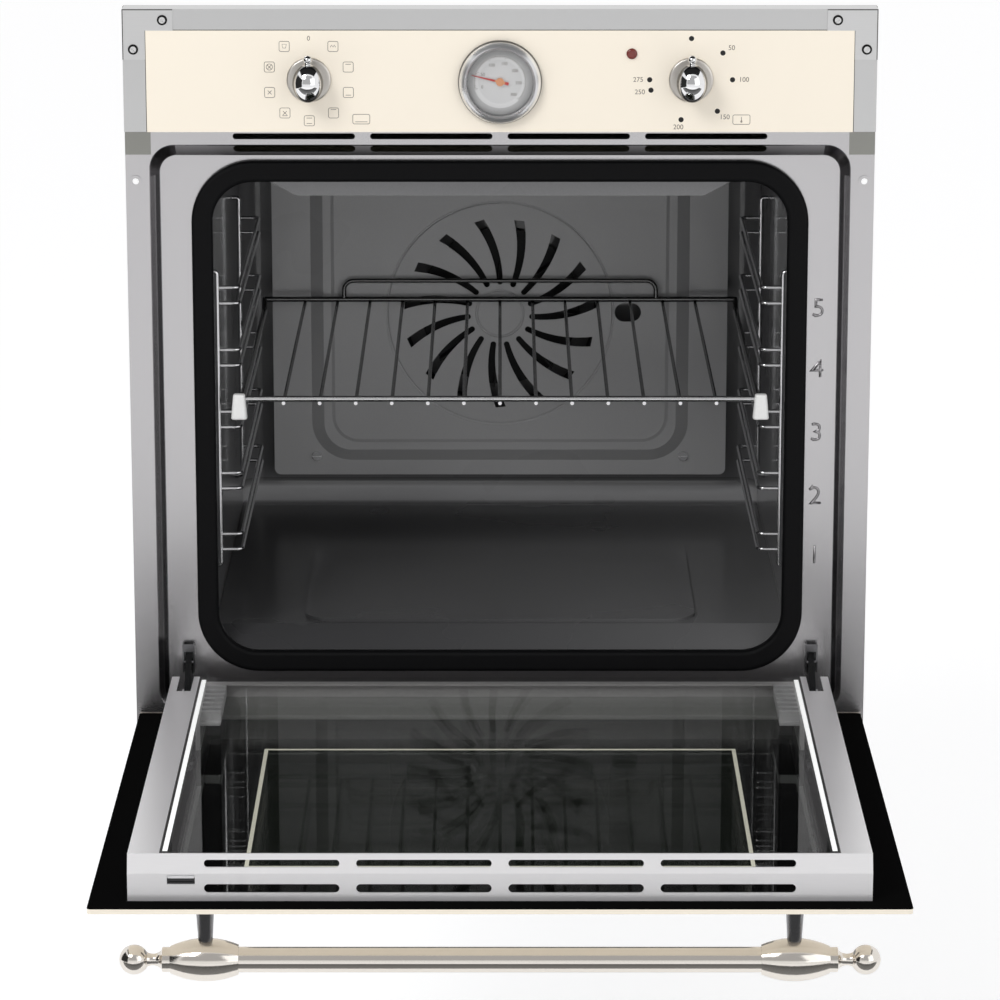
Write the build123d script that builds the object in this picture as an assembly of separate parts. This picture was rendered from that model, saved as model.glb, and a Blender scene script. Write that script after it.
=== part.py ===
from build123d import *
import os
from math import atan2, cos, degrees, hypot, radians, sin, sqrt, tan

os.makedirs("parts", exist_ok=True)

# Millimetres. X runs to the right, Y into the oven, Z up.
# Y = 0 is the front of the mounting flange and Z = 0 is the base.

# Casing
oven_width = 595.0
oven_height = 595.0
flange_width = 18.8
casing_gap = 0.7
casing_depth = 545.0
sheet = 1.0
hem = 14.0
front_hem = 8.0
bay_depth = 70.0
bay_room = 14.5
step_depth = 40.0
duct_room = 10.7
rear_slot_length = 60.0
rear_slot_height = 4.0
rear_slot_pitch = 12.0
rear_slot_rows = 6
rear_slot_gap = 36.0
rear_slot_columns = (-1, 0, 1)
top_slot_rows = 7
top_slot_setback = 60.0
top_slot_length = 120.0
top_slot_x = 139.0
side_rib_width = 10.0
side_rib_depth = 2.5
side_rib_length = 380.0
side_rib_heights = (198.0, 396.0)
side_rib_setback = 90.0

# Front frame
flange_corner = 2.0
recess_depth = 18.0
recess_taper = 7.4
recess_bottom = 14.0
recess_drop = 111.0
recess_bottom_taper = 5.0
recess_top_taper = 11.5
recess_corner = 20.0
face_corner = 13.0
mouth_side = 41.3
mouth_bottom = 62.4
mouth_drop = 143.2
mouth_corner = 33.0
vent_slot_length = 97.0
vent_slot_pitch = 109.0
vent_slot_height = 4.7
vent_slot_columns = (-1.5, -0.5, 0.5, 1.5)
upper_vent_drop = 104.3
lower_vent_drop = 115.4
lower_vent_height = 7.0
cabinet_hole_inset = 7.9
cabinet_hole_drop = 140.5
cabinet_hole_radius = 2.5
cabinet_boss_radius = 4.9
cabinet_boss_height = 0.8

# Gasket
gasket_width = 16.8
gasket_height = 7.9
gasket_edge = 3.2
seal_gap = 0.3

# Cavity
cavity_side = 5.0
cavity_floor = 76.0
cavity_headroom = 2.2
cavity_back = 470.0
cavity_sheet = 1.2
cavity_corner = 18.0
apron_length = 30.0
liner_rim = 8.0
floor_panel_width = 324.0
floor_panel_front = 54.0
floor_panel_length = 238.0
floor_panel_corner = 24.0
floor_panel_rise = 2.5
deflector_drop = 19.0
deflector_front = 45.0
deflector_depth = 14.0
deflector_side = 35.0
deflector_slant = 36.0

# Fan cover, the removable rear panel
cover_side = 30.0
cover_bottom = 107.0
cover_drop = 26.0
cover_corner = 6.0
cover_front = 440.0
cover_pan_side = 34.5
cover_pan_bottom = 120.6
cover_pan_rise = 8.0
cover_pan_flank = 11.5
cover_pan_corner = 36.0
cover_step_inset = 7.0
cover_step_flank = 3.0
cover_step_rise = 1.2
fan_height = 258.4
fan_ring_radius = 101.6
fan_hub_radius = 21.0
bead_depth = 1.3
spiral_slots = 15
spiral_outer_radius = 86.5
spiral_inner_radius = 29.0
spiral_sweep = 12.5
spiral_bulge = 4.2
spiral_outer_width = 9.2
spiral_inner_width = 5.2
air_hole_x = 115.0
air_hole_z = 259.3
air_hole_width = 23.8
air_hole_height = 17.0
cover_screw_side = 38.6
cover_screw_z = 124.5
cover_screw_hole = 2.2
cover_screw_fit = 0.1
cover_screw_head = 4.2
cover_screw_rise = 2.0
cover_screw_slot = 1.0
cover_foot_radius = 5.0

# Convection fan and its motor
fan_radius = 72.0
fan_depth = 17.0
fan_blades = 8
fan_gap = 5.0
fan_disc = 1.2
fan_hub = 9.0
fan_blade_thickness = 1.6
fan_blade_offset = 5.0
fan_blade_angle = -8.0
shaft_radius = 3.0
shaft_end_gap = 4.0
shaft_running_gap = 0.05
wall_hole_radius = 8.0
motor_radius = 29.0
motor_length = 40.0
motor_chamfer = 4.0
motor_setback = 6.0
motor_foot_width = 96.0
motor_foot_height = 26.0
strap_thickness = 1.5
strap_foot = 6.0

# Heating elements
element_radius = 3.2
element_bend = 16.0
ring_radius = 88.0
ring_setback = 15.0
ring_lead = 11.2
grill_drop = 13.0
grill_side = 50.0
grill_front = 82.0
grill_back = 392.0
grill_lead = 45.0
grill_inner_lead = 22.5
grill_inner_bend = 15.0
grill_inner_half_width = 105.0
grill_inner_front = 132.0
grill_inner_back = 352.0
lower_side = 85.0
lower_inner_half_width = 50.0
lower_front = 80.0
lower_back = 380.0
lower_lead = 30.0
lower_return = 60.0
element_hole_gap = 0.4
lead_end = 494.0

# Cavity lamp, in the right wall above the ladder
lamp_y = 402.0
lamp_drop = 49.0
lamp_radius = 24.0
lamp_dome = 12.0
lamp_glass_wall = 3.0
lamp_flange = 4.0
lamp_can_length = 34.0
lamp_socket_radius = 9.0
lamp_bulb_radius = 8.0

# Insulation
wool_gap = 0.3
wool_thickness = 24.0
wool_front = 62.0
wool_bottom = 58.0
wool_clearance = 7.0

# Shelf ladders
wire_radius = 2.0
rail_radius = 1.6
ladder_side = 6.5
ladder_front = 32.0
ladder_back = 342.0
stud_z = 131.0
ladder_front_top = 375.0
ladder_back_top = 380.0
ladder_hook = 6.0
ladder_reach = 17.5
ladder_bend = 5.0
first_level = 144.0
level_pitch = 51.3
level_count = 5
rail_pair = 12.9
shelf_level = 3
stud_radius = 3.0
stud_head = 3.0
stud_shank = 1.8

# Wire shelf
shelf_wire_radius = 2.4
shelf_bar_radius = 1.5
shelf_front = 20.0
shelf_back = 424.0
shelf_rise = 9.0
shelf_bars = 13
shelf_bar_margin = 35.8
shelf_bar_end = 1.0
shelf_bend = 6.0
shelf_rest_gap = 0.3
shelf_weld = 0.4
hoop_width = 280.0
hoop_rise = 17.0
hoop_wire_radius = 1.9
hoop_bend = 9.0
cap_width = 13.4
cap_height = 20.7
cap_depth = 9.0
cap_corner = 3.0
cap_edge = 1.5
cap_taper = 4.0
cap_cover = 2.0
cap_setback = 2.0

# Control panel
panel_height = 97.0
panel_side_gap = 1.5
panel_depth = 24.0
top_arm = 16.8
fascia_gap = 0.45
fascia_thickness = 1.2
fascia_ledge = 6.0
fascia_window_corner = 4.0
bracket_size = 39.7
bracket_arm = 17.8
bracket_screw_inset = 8.5
bracket_screw_reach = 31.6
bracket_screw_radius = 4.0
bracket_screw_head = 1.6
bracket_screw_edge = 0.7
bracket_screw_shank = 2.0
bracket_screw_fit = 0.1
bracket_screw_slot = 1.1
bracket_screw_turn = 40.0

# Knobs and switches
knob_x = 150.0
knob_drop = 55.5
knob_ring_radius = 17.6
knob_ring_bore = 10.0
knob_ring_height = 3.0
knob_reach = 20.0
knob_radius = 12.2
knob_half_height = 15.0
knob_end_radius = 10.5
knob_neck_radius = 8.5
knob_neck_gap = 0.5
pointer_radius = 3.6
pointer_rise = 22.0
pointer_collar_radius = 2.9
pointer_waist_radius = 2.0
spindle_radius = 3.0
spindle_depth = 26.0
spindle_in_knob = 12.0
spindle_hole = 5.0
switch_size = 44.0
switch_depth = 32.0
thermostat_width = 40.0
thermostat_height = 52.0
thermostat_depth = 30.0
switch_corner = 4.0
tab_count = 5
tab_width = 4.8
tab_length = 7.0
tab_thickness = 0.8
pilot_x = 103.4
pilot_drop = 35.0
pilot_radius = 3.5
pilot_rise = 2.0
pilot_flange = 0.8
pilot_fit = 0.1
pilot_length = 14.0

# Thermometer
gauge_drop = 57.3
gauge_radius = 33.0
gauge_lip = 26.0
gauge_rise = 10.0
gauge_case_radius = 28.0
gauge_case_depth = 17.0
gauge_hole_gap = 0.5
gauge_crest = 5.0
gauge_bulge = 2.0
gauge_bulge_drop = 3.0
gauge_lip_bulge = 0.8
gauge_lip_drop = 1.4
gauge_wall = 1.0
gauge_glass_setback = 4.0
gauge_glass_fit = 0.1
gauge_glass = 1.5
dial_setback = 1.0
dial_thickness = 0.8
dial_boss = 6.0
needle_length = 23.0
needle_lift = 1.6
needle_root_half = 0.9
needle_tip_half = 0.2
needle_tail_half = 1.2
needle_thickness = 0.5
needle_hub_height = 1.2
needle_pin_length = 5.0
needle_tail = 7.0
needle_hub = 3.2
needle_pin = 0.8
needle_angle = 166.6

# Cooling blower and duct
duct_side = 60.0
duct_gap = 0.3
duct_height = 24.0
duct_length = 270.0
duct_start = 14.0
blower_y = 330.0
blower_radius = 58.0
blower_housing_radius = 82.0
blower_wheel_height = 16.0
blower_inlet_radius = 46.0
blower_blades = 12
blower_blade_width = 12.0
blower_blade_thickness = 1.2
blower_blade_inset = 8.0
blower_blade_angle = 30.0
blower_ring_width = 3.0
blower_hub_radius = 7.0
blower_hub_height = 4.0
blower_motor_radius = 24.0
blower_motor_drop = 14.0
blower_shaft_drop = 3.0
blower_leg_reach = 54.0
blower_leg_width = 8.0
blower_leg_thickness = 1.5

# Mains inlet
inlet_x = 180.0
inlet_drop = 74.5
inlet_width = 70.0
inlet_height = 44.0
inlet_depth = 24.0
inlet_rim = 6.0
inlet_wells = 3
inlet_well_radius = 5.0
gland_height = 8.0

# Door, drawn closed and then swung open about its hinge
door_side_gap = 2.5
door_bottom = 12.4
door_gap = 4.6
door_corner = 3.0
door_thickness = 38.1
glass_thickness = 4.0
hinge_setback = 14.0
hinge_open_gap = 2.0
body_side_gap = 4.3
body_bottom = 22.7
body_drop = 17.1
body_shoulder_drop = 6.3
body_top_front = -3.6
strip_width = 23.7
strip_sheet = 1.0
strip_lip = 6.0
strip_foot = 14.0
pane_gap = 0.3
pane_corner = 2.0
pane_rise = 2.0
inner_pane_drop = 3.0
middle_pane_drop = 8.0
middle_pane_side = 8.0
middle_pane_depth = 14.0
end_sheet = 1.2
end_slot_upper = 5.0
end_slot_lower = 6.5
end_slot_lower_rise = 9.5
bottom_rail_height = 8.0
bottom_rail_gap = 1.0
catch_inset = 38.5
catch_width = 20.0
catch_back = 8.0
catch_front = 1.0
catch_gap = 0.3
catch_wall = 1.0
catch_depth = 9.0
catch_rim = 3.0
catch_lip = 0.4
tongue_gap = 0.6
tongue_thickness = 4.0
tongue_rise = 0.5
holder_width = 20.0
holder_length = 84.0
holder_steps = 7
holder_skin = 2.0
holder_spine = 4.0
holder_rib = 5.0

# Hinges
hinge_inset = 12.0
arm_thickness = 5.0
arm_height = 13.0
arm_eye_radius = 6.5
arm_pin_radius = 3.0
arm_root_near = 3.0
arm_root_far = 5.0
arm_bend_upper = 4.0
arm_bend_lower = 2.0
arm_tail_length = 8.0
arm_hook_width = 6.0
arm_hook_depth = 5.0
arm_slot_bottom = 42.0
arm_slot_top = 67.0
arm_slot_width = 8.0
arm_slot_corner = 2.0
receiver_depth = 40.0
receiver_wall = 1.5
receiver_room = 6.0
cheek_thickness = 1.5
cheek_gap = 0.4
pin_head = 1.0
pin_head_rim = 1.5
hinge_channel_length = 170.0
hinge_channel_depth = 20.0
hinge_channel_foot = 9.0
door_slot_width = 11.6
door_slot_top = 64.0
latch_width = 10.0
latch_top = 68.8
latch_bottom = 45.0
latch_front = 10.3
latch_sheet = 1.2
latch_bridge = 6.0
latch_corner = 2.0
rivet_radius = 2.0
rivet_drop = 15.8

# Handle
handle_drop = 38.0
handle_standoff = 48.0
handle_radius = 9.4
handle_post_inset = 82.0
post_base_radius = 7.2
post_neck_radius = 5.3
post_in_barrel = 1.0
barrel_overhang = 24.0
barrel_length = 49.6
barrel_waist = 20.8
barrel_radius = 15.8
barrel_end_radius = 10.2
barrel_inner_radius = 11.0
handle_collar_length = 6.7
handle_collar_radius = 9.2
handle_neck_length = 10.0
handle_neck_radius = 4.4
handle_neck_flare = 1.0
collar_edge_length = 1.0
collar_edge_drop = 2.0
finial_radius = 11.0

# Places that follow from the sizes above
panel_bottom = oven_height - panel_height
panel_half = oven_width / 2 - panel_side_gap
panel_front = -panel_depth
fascia_back = panel_front + fascia_thickness
fascia_half = panel_half - bracket_arm - fascia_gap
fascia_top = oven_height - top_arm
knob_z = oven_height - knob_drop
pilot_z = oven_height - pilot_drop
gauge_z = oven_height - gauge_drop
recess_half = oven_width / 2 - flange_width
recess_top = oven_height - recess_drop
face_half = recess_half - recess_taper
face_bottom = recess_bottom + recess_bottom_taper
face_top = recess_top - recess_top_taper
face_back = recess_depth + sheet
upper_vent_centre = oven_height - upper_vent_drop
lower_vent_centre = oven_height - lower_vent_drop
cabinet_hole_x = oven_width / 2 - cabinet_hole_inset
cabinet_hole_z = oven_height - cabinet_hole_drop
mouth_half = face_half - mouth_side
mouth_top = oven_height - mouth_drop
cavity_half = mouth_half + cavity_side
cavity_ceiling = mouth_top + cavity_headroom
liner_half = cavity_half + cavity_sheet
casing_half = recess_half - casing_gap
casing_inside = casing_half - sheet
deflector_half = cavity_half - deflector_side
deflector_bottom = cavity_ceiling - deflector_drop
cover_half = cavity_half - cover_side
cover_top = cavity_ceiling - cover_drop
cover_screw_x = cover_half - cover_screw_side
cover_face = cover_front - cover_pan_rise
pan_half = cover_half - cover_pan_side
grill_height = cavity_ceiling - grill_drop
lamp_z = cavity_ceiling - lamp_drop
grill_half_width = cavity_half - grill_side
lower_half_width = cavity_half - lower_side
ladder_x = cavity_half - ladder_side
rail_line = ladder_x - ladder_reach
level_heights = [first_level + n * level_pitch for n in range(level_count)]
shelf_z = level_heights[shelf_level - 1] + rail_pair + rail_radius + shelf_rest_gap + shelf_wire_radius
shelf_bar_pitch = 2 * (rail_line - shelf_bar_margin) / (shelf_bars - 1)
dial_front = panel_front + dial_setback
can_back = panel_front - gauge_rise + gauge_glass_setback + gauge_case_depth - gauge_wall
lower_element_height = cavity_floor - cavity_sheet - element_radius - shelf_rest_gap
wool_side = liner_half + wool_gap
wool_back = cavity_back + cavity_sheet + wool_gap
wool_top = cavity_ceiling + cavity_sheet + wool_gap
duct_bottom = wool_top + wool_thickness + duct_gap
duct_top = duct_bottom + duct_height
duct_half = casing_half - duct_side
bay_top = knob_z + thermostat_height / 2 + bay_room
casing_top = duct_top + duct_room
step_end = bay_depth + step_depth
inlet_z = casing_top - inlet_drop
seal_plane = recess_depth - gasket_height - seal_gap
door_front = seal_plane - door_thickness
glass_back = door_front + glass_thickness
door_top = panel_bottom - door_gap
door_half = oven_width / 2 - door_side_gap
hinge_y = -hinge_setback
hinge_z = door_bottom + hinge_setback - hinge_open_gap
hinge_axis = Axis((0, hinge_y, hinge_z), (1, 0, 0))
body_half = face_half - body_side_gap
body_top = door_top - body_drop
body_shoulder = body_top - body_shoulder_drop
strip_inner = body_half - strip_width
catch_x = catch_inset - body_half
hinge_x = body_half - hinge_inset
hinge_half = arm_thickness / 2 + cheek_gap
rivet_y = (latch_front + recess_depth) / 2
rivet_z = latch_top - rivet_drop
arm_middle = (arm_slot_bottom + arm_slot_top) / 2
handle_y = door_front - handle_standoff
handle_z = door_top - handle_drop
post_x = door_half - handle_post_inset
barrel_inner = post_x - barrel_overhang


def block(x0, x1, y0, y1, z0, z1):
    """A box given by its limits."""
    return Pos((x0 + x1) / 2, (y0 + y1) / 2, (z0 + z1) / 2) * Box(x1 - x0, y1 - y0, z1 - z0)


def area(x0, x1, z0, z1, corner=0.0):
    """A rectangle given by its limits, with round corners."""
    centre = Pos((x0 + x1) / 2, (z0 + z1) / 2)
    if corner:
        return centre * RectangleRounded(x1 - x0, z1 - z0, corner)
    return centre * Rectangle(x1 - x0, z1 - z0)


def from_front(outline, y, thickness):
    """Thickens an outline drawn in front view, from depth y backwards."""
    return extrude(Plane.XZ.offset(-y) * outline, amount=-thickness)


def from_side(outline, x, width):
    """Thickens an outline drawn in side view (Y, Z), from x to the right."""
    return extrude(Plane.YZ.offset(x) * outline, amount=width)


def from_above(outline, z, height):
    """Thickens an outline drawn in plan view, from height z upwards."""
    return extrude(Plane.XY.offset(z) * outline, amount=height)


def outline(*points):
    """A flat face inside straight lines between the points."""
    return make_face(Polyline(*points, close=True))


def bar(start, end, radius):
    """A straight round bar between two points."""
    start, end = Vector(*start), Vector(*end)
    plane = Plane(origin=start, z_dir=end - start)
    return extrude(plane * Circle(radius), amount=(end - start).length)


def bent_bar(points, radius, bend):
    """A round bar along straight runs joined by bends."""
    pieces = []
    for run in FilletPolyline(*points, radius=bend).edges():
        section = Plane(origin=run @ 0, z_dir=run % 0) * Circle(radius)
        if run.geom_type == GeomType.CIRCLE:
            turn_axis = Axis(run.arc_center, (run @ 0 - run.arc_center).cross(run % 0))
            pieces.append(revolve(section, axis=turn_axis, revolution_arc=degrees(run.length / bend)))
        else:
            pieces.append(extrude(section, amount=run.length))
    return pieces[0] + pieces[1:]


def both_sides(shape):
    """The shape and its mirror image in the middle plane."""
    return [shape, mirror(shape, about=Plane.YZ)]


def slot_row(y, depth, z, height):
    """The row of four round-ended air slots, as cutters."""
    slots = []
    for column in vent_slot_columns:
        slot = Pos(column * vent_slot_pitch, z) * SlotOverall(vent_slot_length, height)
        slots.append(from_front(slot, y, depth))
    return slots


def open_door(shape):
    """Swings a piece of the closed door down to its open place."""
    return shape.rotate(hinge_axis, 90)


# Casing

def casing_line(y0, y1):
    """The top of the casing in side view: a high bay for the controls, a step and the low rear."""
    return [(y0, bay_top), (bay_depth, bay_top), (step_end, casing_top), (y1, casing_top)]


def side_cover():
    """The right cover: a wall notched round the door recess, with hems at its edges."""
    x = casing_half
    notch = recess_top + 3 * sheet
    wall = outline((face_back, 0), (casing_depth, 0), *reversed(casing_line(sheet, casing_depth)),
                   (sheet, notch), (face_back, notch))
    cover = from_side(wall, casing_inside, sheet)
    cover += block(x - hem, x, face_back + hem, casing_depth - sheet, sheet, 2 * sheet)
    cover += block(x - hem, x, step_end + hem, casing_depth - sheet, casing_top - sheet, casing_top)
    cover += block(x - hem, x, face_back, face_back + sheet, sheet, notch)
    for z in side_rib_heights:
        start = (casing_inside, side_rib_setback, z)
        end = (casing_inside, side_rib_setback + side_rib_length, z)
        rib = bar(start, end, side_rib_width / 2)
        cover += rib & block(casing_inside - side_rib_depth, x, 0, casing_depth, 0, casing_top)
    return cover


def base_tray():
    """The flat base under the whole oven, with an upright lip behind the frame and at the back."""
    x = casing_inside
    tray = block(-x, x, 0, casing_depth - sheet, 0, sheet)
    tray += block(-x + hem, x - hem, face_back, face_back + sheet, sheet, recess_bottom + hem)
    return tray + block(-x + hem, x - hem, casing_depth - 2 * sheet, casing_depth - sheet, sheet, hem)


def top_cover():
    """One bent sheet over the control bay, down the step and along the rear."""
    x = casing_inside
    slope = atan2(bay_top - casing_top, step_depth)
    mitre = sheet * tan(slope / 2)
    outside = [(y, z - sheet) for y, z in casing_line(sheet, casing_depth - sheet)]
    shift = (0, mitre, mitre, 0)
    inside = [(y - back, z - sheet) for (y, z), back in zip(outside, shift)]
    cover = from_side(outline(*outside, *reversed(inside)), -x, 2 * x)
    cover += block(-x, x, sheet, 2 * sheet, bay_top - sheet - front_hem, bay_top - sheet)
    for row in range(top_slot_rows):
        y = casing_depth - top_slot_setback - row * rear_slot_pitch
        slot = Pos(top_slot_x, y) * SlotOverall(top_slot_length, rear_slot_height)
        cover -= both_sides(from_above(slot, casing_top - 2 * sheet, sheet))
    return cover


def rear_cover():
    x = casing_inside
    cover = block(-x, x, casing_depth - sheet, casing_depth, 0, casing_top - sheet)
    for row in range(rear_slot_rows):
        z = fan_height + (row - rear_slot_rows / 2) * rear_slot_pitch
        for column in rear_slot_columns:
            slot = Pos(column * (rear_slot_length + rear_slot_gap), z)
            slot = slot * SlotOverall(rear_slot_length, rear_slot_height)
            cover -= from_front(slot, casing_depth - sheet, sheet)
    window = area(inlet_x - inlet_width / 2, inlet_x + inlet_width / 2,
                  inlet_z - inlet_height / 2, inlet_z + inlet_height / 2)
    return cover - from_front(window, casing_depth - sheet, sheet)


def mains_inlet():
    """The terminal box in the rear cover, with its screw wells and the cable's opening."""
    half, tall = inlet_width / 2, inlet_height / 2
    back = casing_depth + sheet
    body = block(inlet_x - half, inlet_x + half, casing_depth - inlet_depth, casing_depth,
                 inlet_z - tall, inlet_z + tall)
    body += block(inlet_x - half - inlet_rim, inlet_x + half + inlet_rim, casing_depth, back,
                  inlet_z - tall - inlet_rim, inlet_z + tall + inlet_rim)
    for n in range(inlet_wells):
        x = inlet_x + (n - (inlet_wells - 1) / 2) * inlet_width / (inlet_wells + 1)
        well = Pos(x, inlet_z + tall / 3) * Circle(inlet_well_radius)
        body -= from_front(well, back - inlet_depth / 2, inlet_depth)
    gland = Pos(inlet_x, inlet_z - tall / 2) * Rectangle(half, gland_height)
    return body - from_front(gland, casing_depth - inlet_depth / 2, inlet_depth)


# Front frame

def recess(grow, depth):
    """The block of the door recess, grown outwards and taken to a depth."""
    half = recess_half + grow
    front = area(-half, half, recess_bottom - grow, recess_top + grow, recess_corner)
    half = face_half + grow
    back = area(-half, half, face_bottom - grow, face_top + grow, face_corner)
    return loft([Plane.XZ * front, Plane.XZ.offset(-depth) * back], ruled=True)


def mouth(grow=0.0):
    half = mouth_half + grow
    return area(-half, half, mouth_bottom - grow, mouth_top + grow, mouth_corner + grow)


def front_frame():
    half = oven_width / 2
    frame = from_front(area(-half, half, sheet, oven_height, flange_corner), 0, sheet)
    frame += recess(sheet, face_back) - recess(0, recess_depth)
    frame -= recess(0, recess_depth)
    frame -= from_front(mouth(), recess_depth - sheet, 3 * sheet)
    frame -= slot_row(-sheet, 3 * sheet, upper_vent_centre, vent_slot_height)
    frame -= slot_row(sheet, recess_depth, lower_vent_centre, lower_vent_height)
    arm_slot = area(hinge_x - arm_slot_width / 2, hinge_x + arm_slot_width / 2,
                    arm_slot_bottom, arm_slot_top, arm_slot_corner)
    frame -= both_sides(from_front(arm_slot, recess_depth - sheet, 3 * sheet))
    hole_at = Pos(cabinet_hole_x, cabinet_hole_z)
    boss = hole_at * Circle(cabinet_boss_radius)
    frame += both_sides(from_front(boss, -cabinet_boss_height, cabinet_boss_height))
    frame -= both_sides(from_front(hole_at * Circle(cabinet_hole_radius), -sheet, 3 * sheet))
    spindle = Pos(knob_x, knob_z) * Circle(spindle_hole)
    frame -= both_sides(from_front(spindle, -sheet, 3 * sheet))
    return frame


def gasket():
    ring = from_front(mouth(gasket_width) - mouth(), recess_depth - gasket_height, gasket_height)
    crown = ring.faces().sort_by(Axis.Y)[0].edges()
    return fillet(crown, gasket_edge)


# Cavity

def cavity_block(grow):
    """The cavity's space, grown outwards by the sheet."""
    half = cavity_half + grow
    front = face_back
    low, floor = mouth_bottom - grow, cavity_floor - grow
    back, ceiling = cavity_back + grow, cavity_ceiling + grow
    profile = outline((front, low), (front + apron_length, floor), (back, floor),
                      (back, ceiling), (front, ceiling))
    space = from_side(profile, -half, 2 * half)
    corners = space.edges().filter_by(Axis.Z).filter_by_position(Axis.Y, back - 1, back + 1)
    corners += space.edges().filter_by(Axis.X).filter_by_position(Axis.Y, back - 1, back + 1)
    return fillet(corners, cavity_corner + grow)


def floor_panel(shrink, z, height):
    half = floor_panel_width / 2 - shrink
    y0 = floor_panel_front + shrink
    y1 = floor_panel_front + floor_panel_length - shrink
    return from_above(area(-half, half, y0, y1, floor_panel_corner - shrink), z, height)


def element_holes(radius):
    """Cutters for every lead that goes through the cavity's back wall."""
    places = [(grill_lead, grill_height), (grill_inner_lead, grill_height),
              (ring_lead, fan_height - ring_radius)]
    holes = []
    for x, z in places:
        hole = from_front(Pos(x, z) * Circle(radius), cavity_back - cavity_sheet, 3 * cavity_sheet)
        holes += both_sides(hole)
    return holes


def cavity_liner():
    liner = cavity_block(cavity_sheet) - cavity_block(0)
    rim = area(-liner_half, liner_half, mouth_bottom - liner_rim, cavity_ceiling + cavity_sheet) - mouth()
    liner += from_front(rim, face_back, cavity_sheet)
    liner += floor_panel(0, cavity_floor - cavity_sheet, floor_panel_rise + cavity_sheet)
    liner -= floor_panel(cavity_sheet, cavity_floor - cavity_sheet, floor_panel_rise)
    shaft_hole = Pos(0, fan_height) * Circle(wall_hole_radius)
    liner -= from_front(shaft_hole, cavity_back - cavity_sheet, 3 * cavity_sheet)
    liner -= element_holes(element_radius + element_hole_gap)
    lamp_hole = Pos(lamp_y, lamp_z) * Circle(lamp_radius - lamp_flange)
    liner -= from_side(lamp_hole, cavity_half - cavity_sheet, 3 * cavity_sheet)
    for y, z in ladder_stud_places():
        hole = from_side(Pos(y, z) * Circle(stud_shank), cavity_half - cavity_sheet, 3 * cavity_sheet)
        liner -= both_sides(hole)
    return liner


def grill_deflector():
    """The slanted lip under the ceiling that hides the grill from the front."""
    top, low = cavity_ceiling, deflector_bottom
    half = deflector_half
    face = outline((-half, top), (-half + deflector_slant, low), (half - deflector_slant, low), (half, top))
    lip = from_front(face, deflector_front, cavity_sheet)
    lip += block(-half + deflector_slant, half - deflector_slant, deflector_front,
                 deflector_front + deflector_depth, low, low + cavity_sheet)
    lip += block(-half, half, deflector_front, deflector_front + deflector_depth,
                 top - cavity_sheet, top)
    return lip


# Fan cover

def pan(grow, rise):
    """The pressed middle of the fan cover, with slanted flanks and round lower corners."""
    half = pan_half + grow
    corner = cover_pan_corner + grow
    return dish(half, cover_pan_bottom - grow, corner, cover_pan_flank, cover_front, rise)


def dish(half, bottom, corner, flank, back, rise):
    """A raised field with slanted flanks at its sides and bottom, square at the top."""
    base = area(-half, half, bottom, cover_top, corner) + area(-half, half, fan_height, cover_top)
    inner = half - flank
    face = area(-inner, inner, bottom + flank, cover_top, corner - flank)
    face += area(-inner, inner, fan_height, cover_top)
    return loft([Plane.XZ.offset(-back) * base, Plane.XZ.offset(rise - back) * face], ruled=True)


def cover_step(shrink):
    """The shallow second step on the pressed middle."""
    inset = cover_pan_flank + cover_step_inset + shrink
    return dish(pan_half - inset, cover_pan_bottom + inset, cover_pan_corner - cover_pan_flank,
                cover_step_flank, cover_face + shrink, cover_step_rise)


def ring_bead(radius, thickness):
    """A round ring pressed into the face of the fan cover."""
    return Plane.XZ.offset(cover_step_rise - cover_face) * Pos(0, fan_height) * Torus(radius, thickness)


def spiral_slot():
    """One curved, tapered slot of the fan cover, in front view about the fan's centre."""
    inner, outer = spiral_inner_radius, spiral_outer_radius
    turn = radians(spiral_sweep)
    tip = Vector(-outer * sin(turn), outer * cos(turn))
    root = Vector(0, inner)
    along = (tip - root).normalized()
    across = Vector(along.Y, -along.X)
    middle = (tip + root) / 2 + across * spiral_bulge
    half_out, half_in = spiral_outer_width / 2, spiral_inner_width / 2
    half_mid = (half_out + half_in) / 2
    right = ThreePointArc(root + across * half_in, middle + across * half_mid, tip + across * half_out)
    left = ThreePointArc(tip - across * half_out, middle - across * half_mid, root - across * half_in)
    end = Line(tip + across * half_out, tip - across * half_out)
    start = ThreePointArc(root - across * half_in, root - along * half_in, root + across * half_in)
    return make_face([right, end, left, start])


def fan_cover():
    """The rear panel: a pressed dish with two ring beads, air slots all round and a hole for the probe."""
    skin = cavity_sheet
    front = cover_face - cover_step_rise
    plate = area(-cover_half, cover_half, cover_bottom, cover_top, cover_corner)
    cover = from_front(plate, cover_front, skin) + pan(0, cover_pan_rise) + cover_step(0)
    cover -= pan(-skin, cover_pan_rise - skin)
    cover -= cover_step(skin)
    half, corner = pan_half - skin, cover_pan_corner - skin
    inside = area(-half, half, cover_pan_bottom + skin, cover_top - skin, corner)
    cover -= from_front(inside, cover_front, skin)
    centre = Pos(0, fan_height)
    behind = from_front(centre * Circle(fan_ring_radius + cover_pan_rise), front, cover_pan_rise)
    for radius in (fan_ring_radius, fan_hub_radius):
        cover += ring_bead(radius, bead_depth + skin) & behind
        cover -= ring_bead(radius, bead_depth)
    cuts = [Pos(air_hole_x, air_hole_z) * SlotOverall(air_hole_width, air_hole_height)]
    for n in range(spiral_slots):
        cuts.append(centre * Rot(0, 0, -n * 360 / spiral_slots) * spiral_slot())
    for cut in cuts:
        cover -= from_front(cut, front - skin, cover_pan_rise)
    for x, z in cover_screw_places():
        foot = Pos(x, z) * Circle(cover_foot_radius)
        cover += from_front(foot, cover_front + skin, cavity_back - cover_front - skin)
        hole = Pos(x, z) * Circle(cover_screw_hole)
        cover -= from_front(hole, cover_front, cavity_back - cover_front)
    return cover


def cover_screw_places():
    return [(-cover_screw_x, cover_screw_z), (cover_screw_x, cover_screw_z)]


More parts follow.
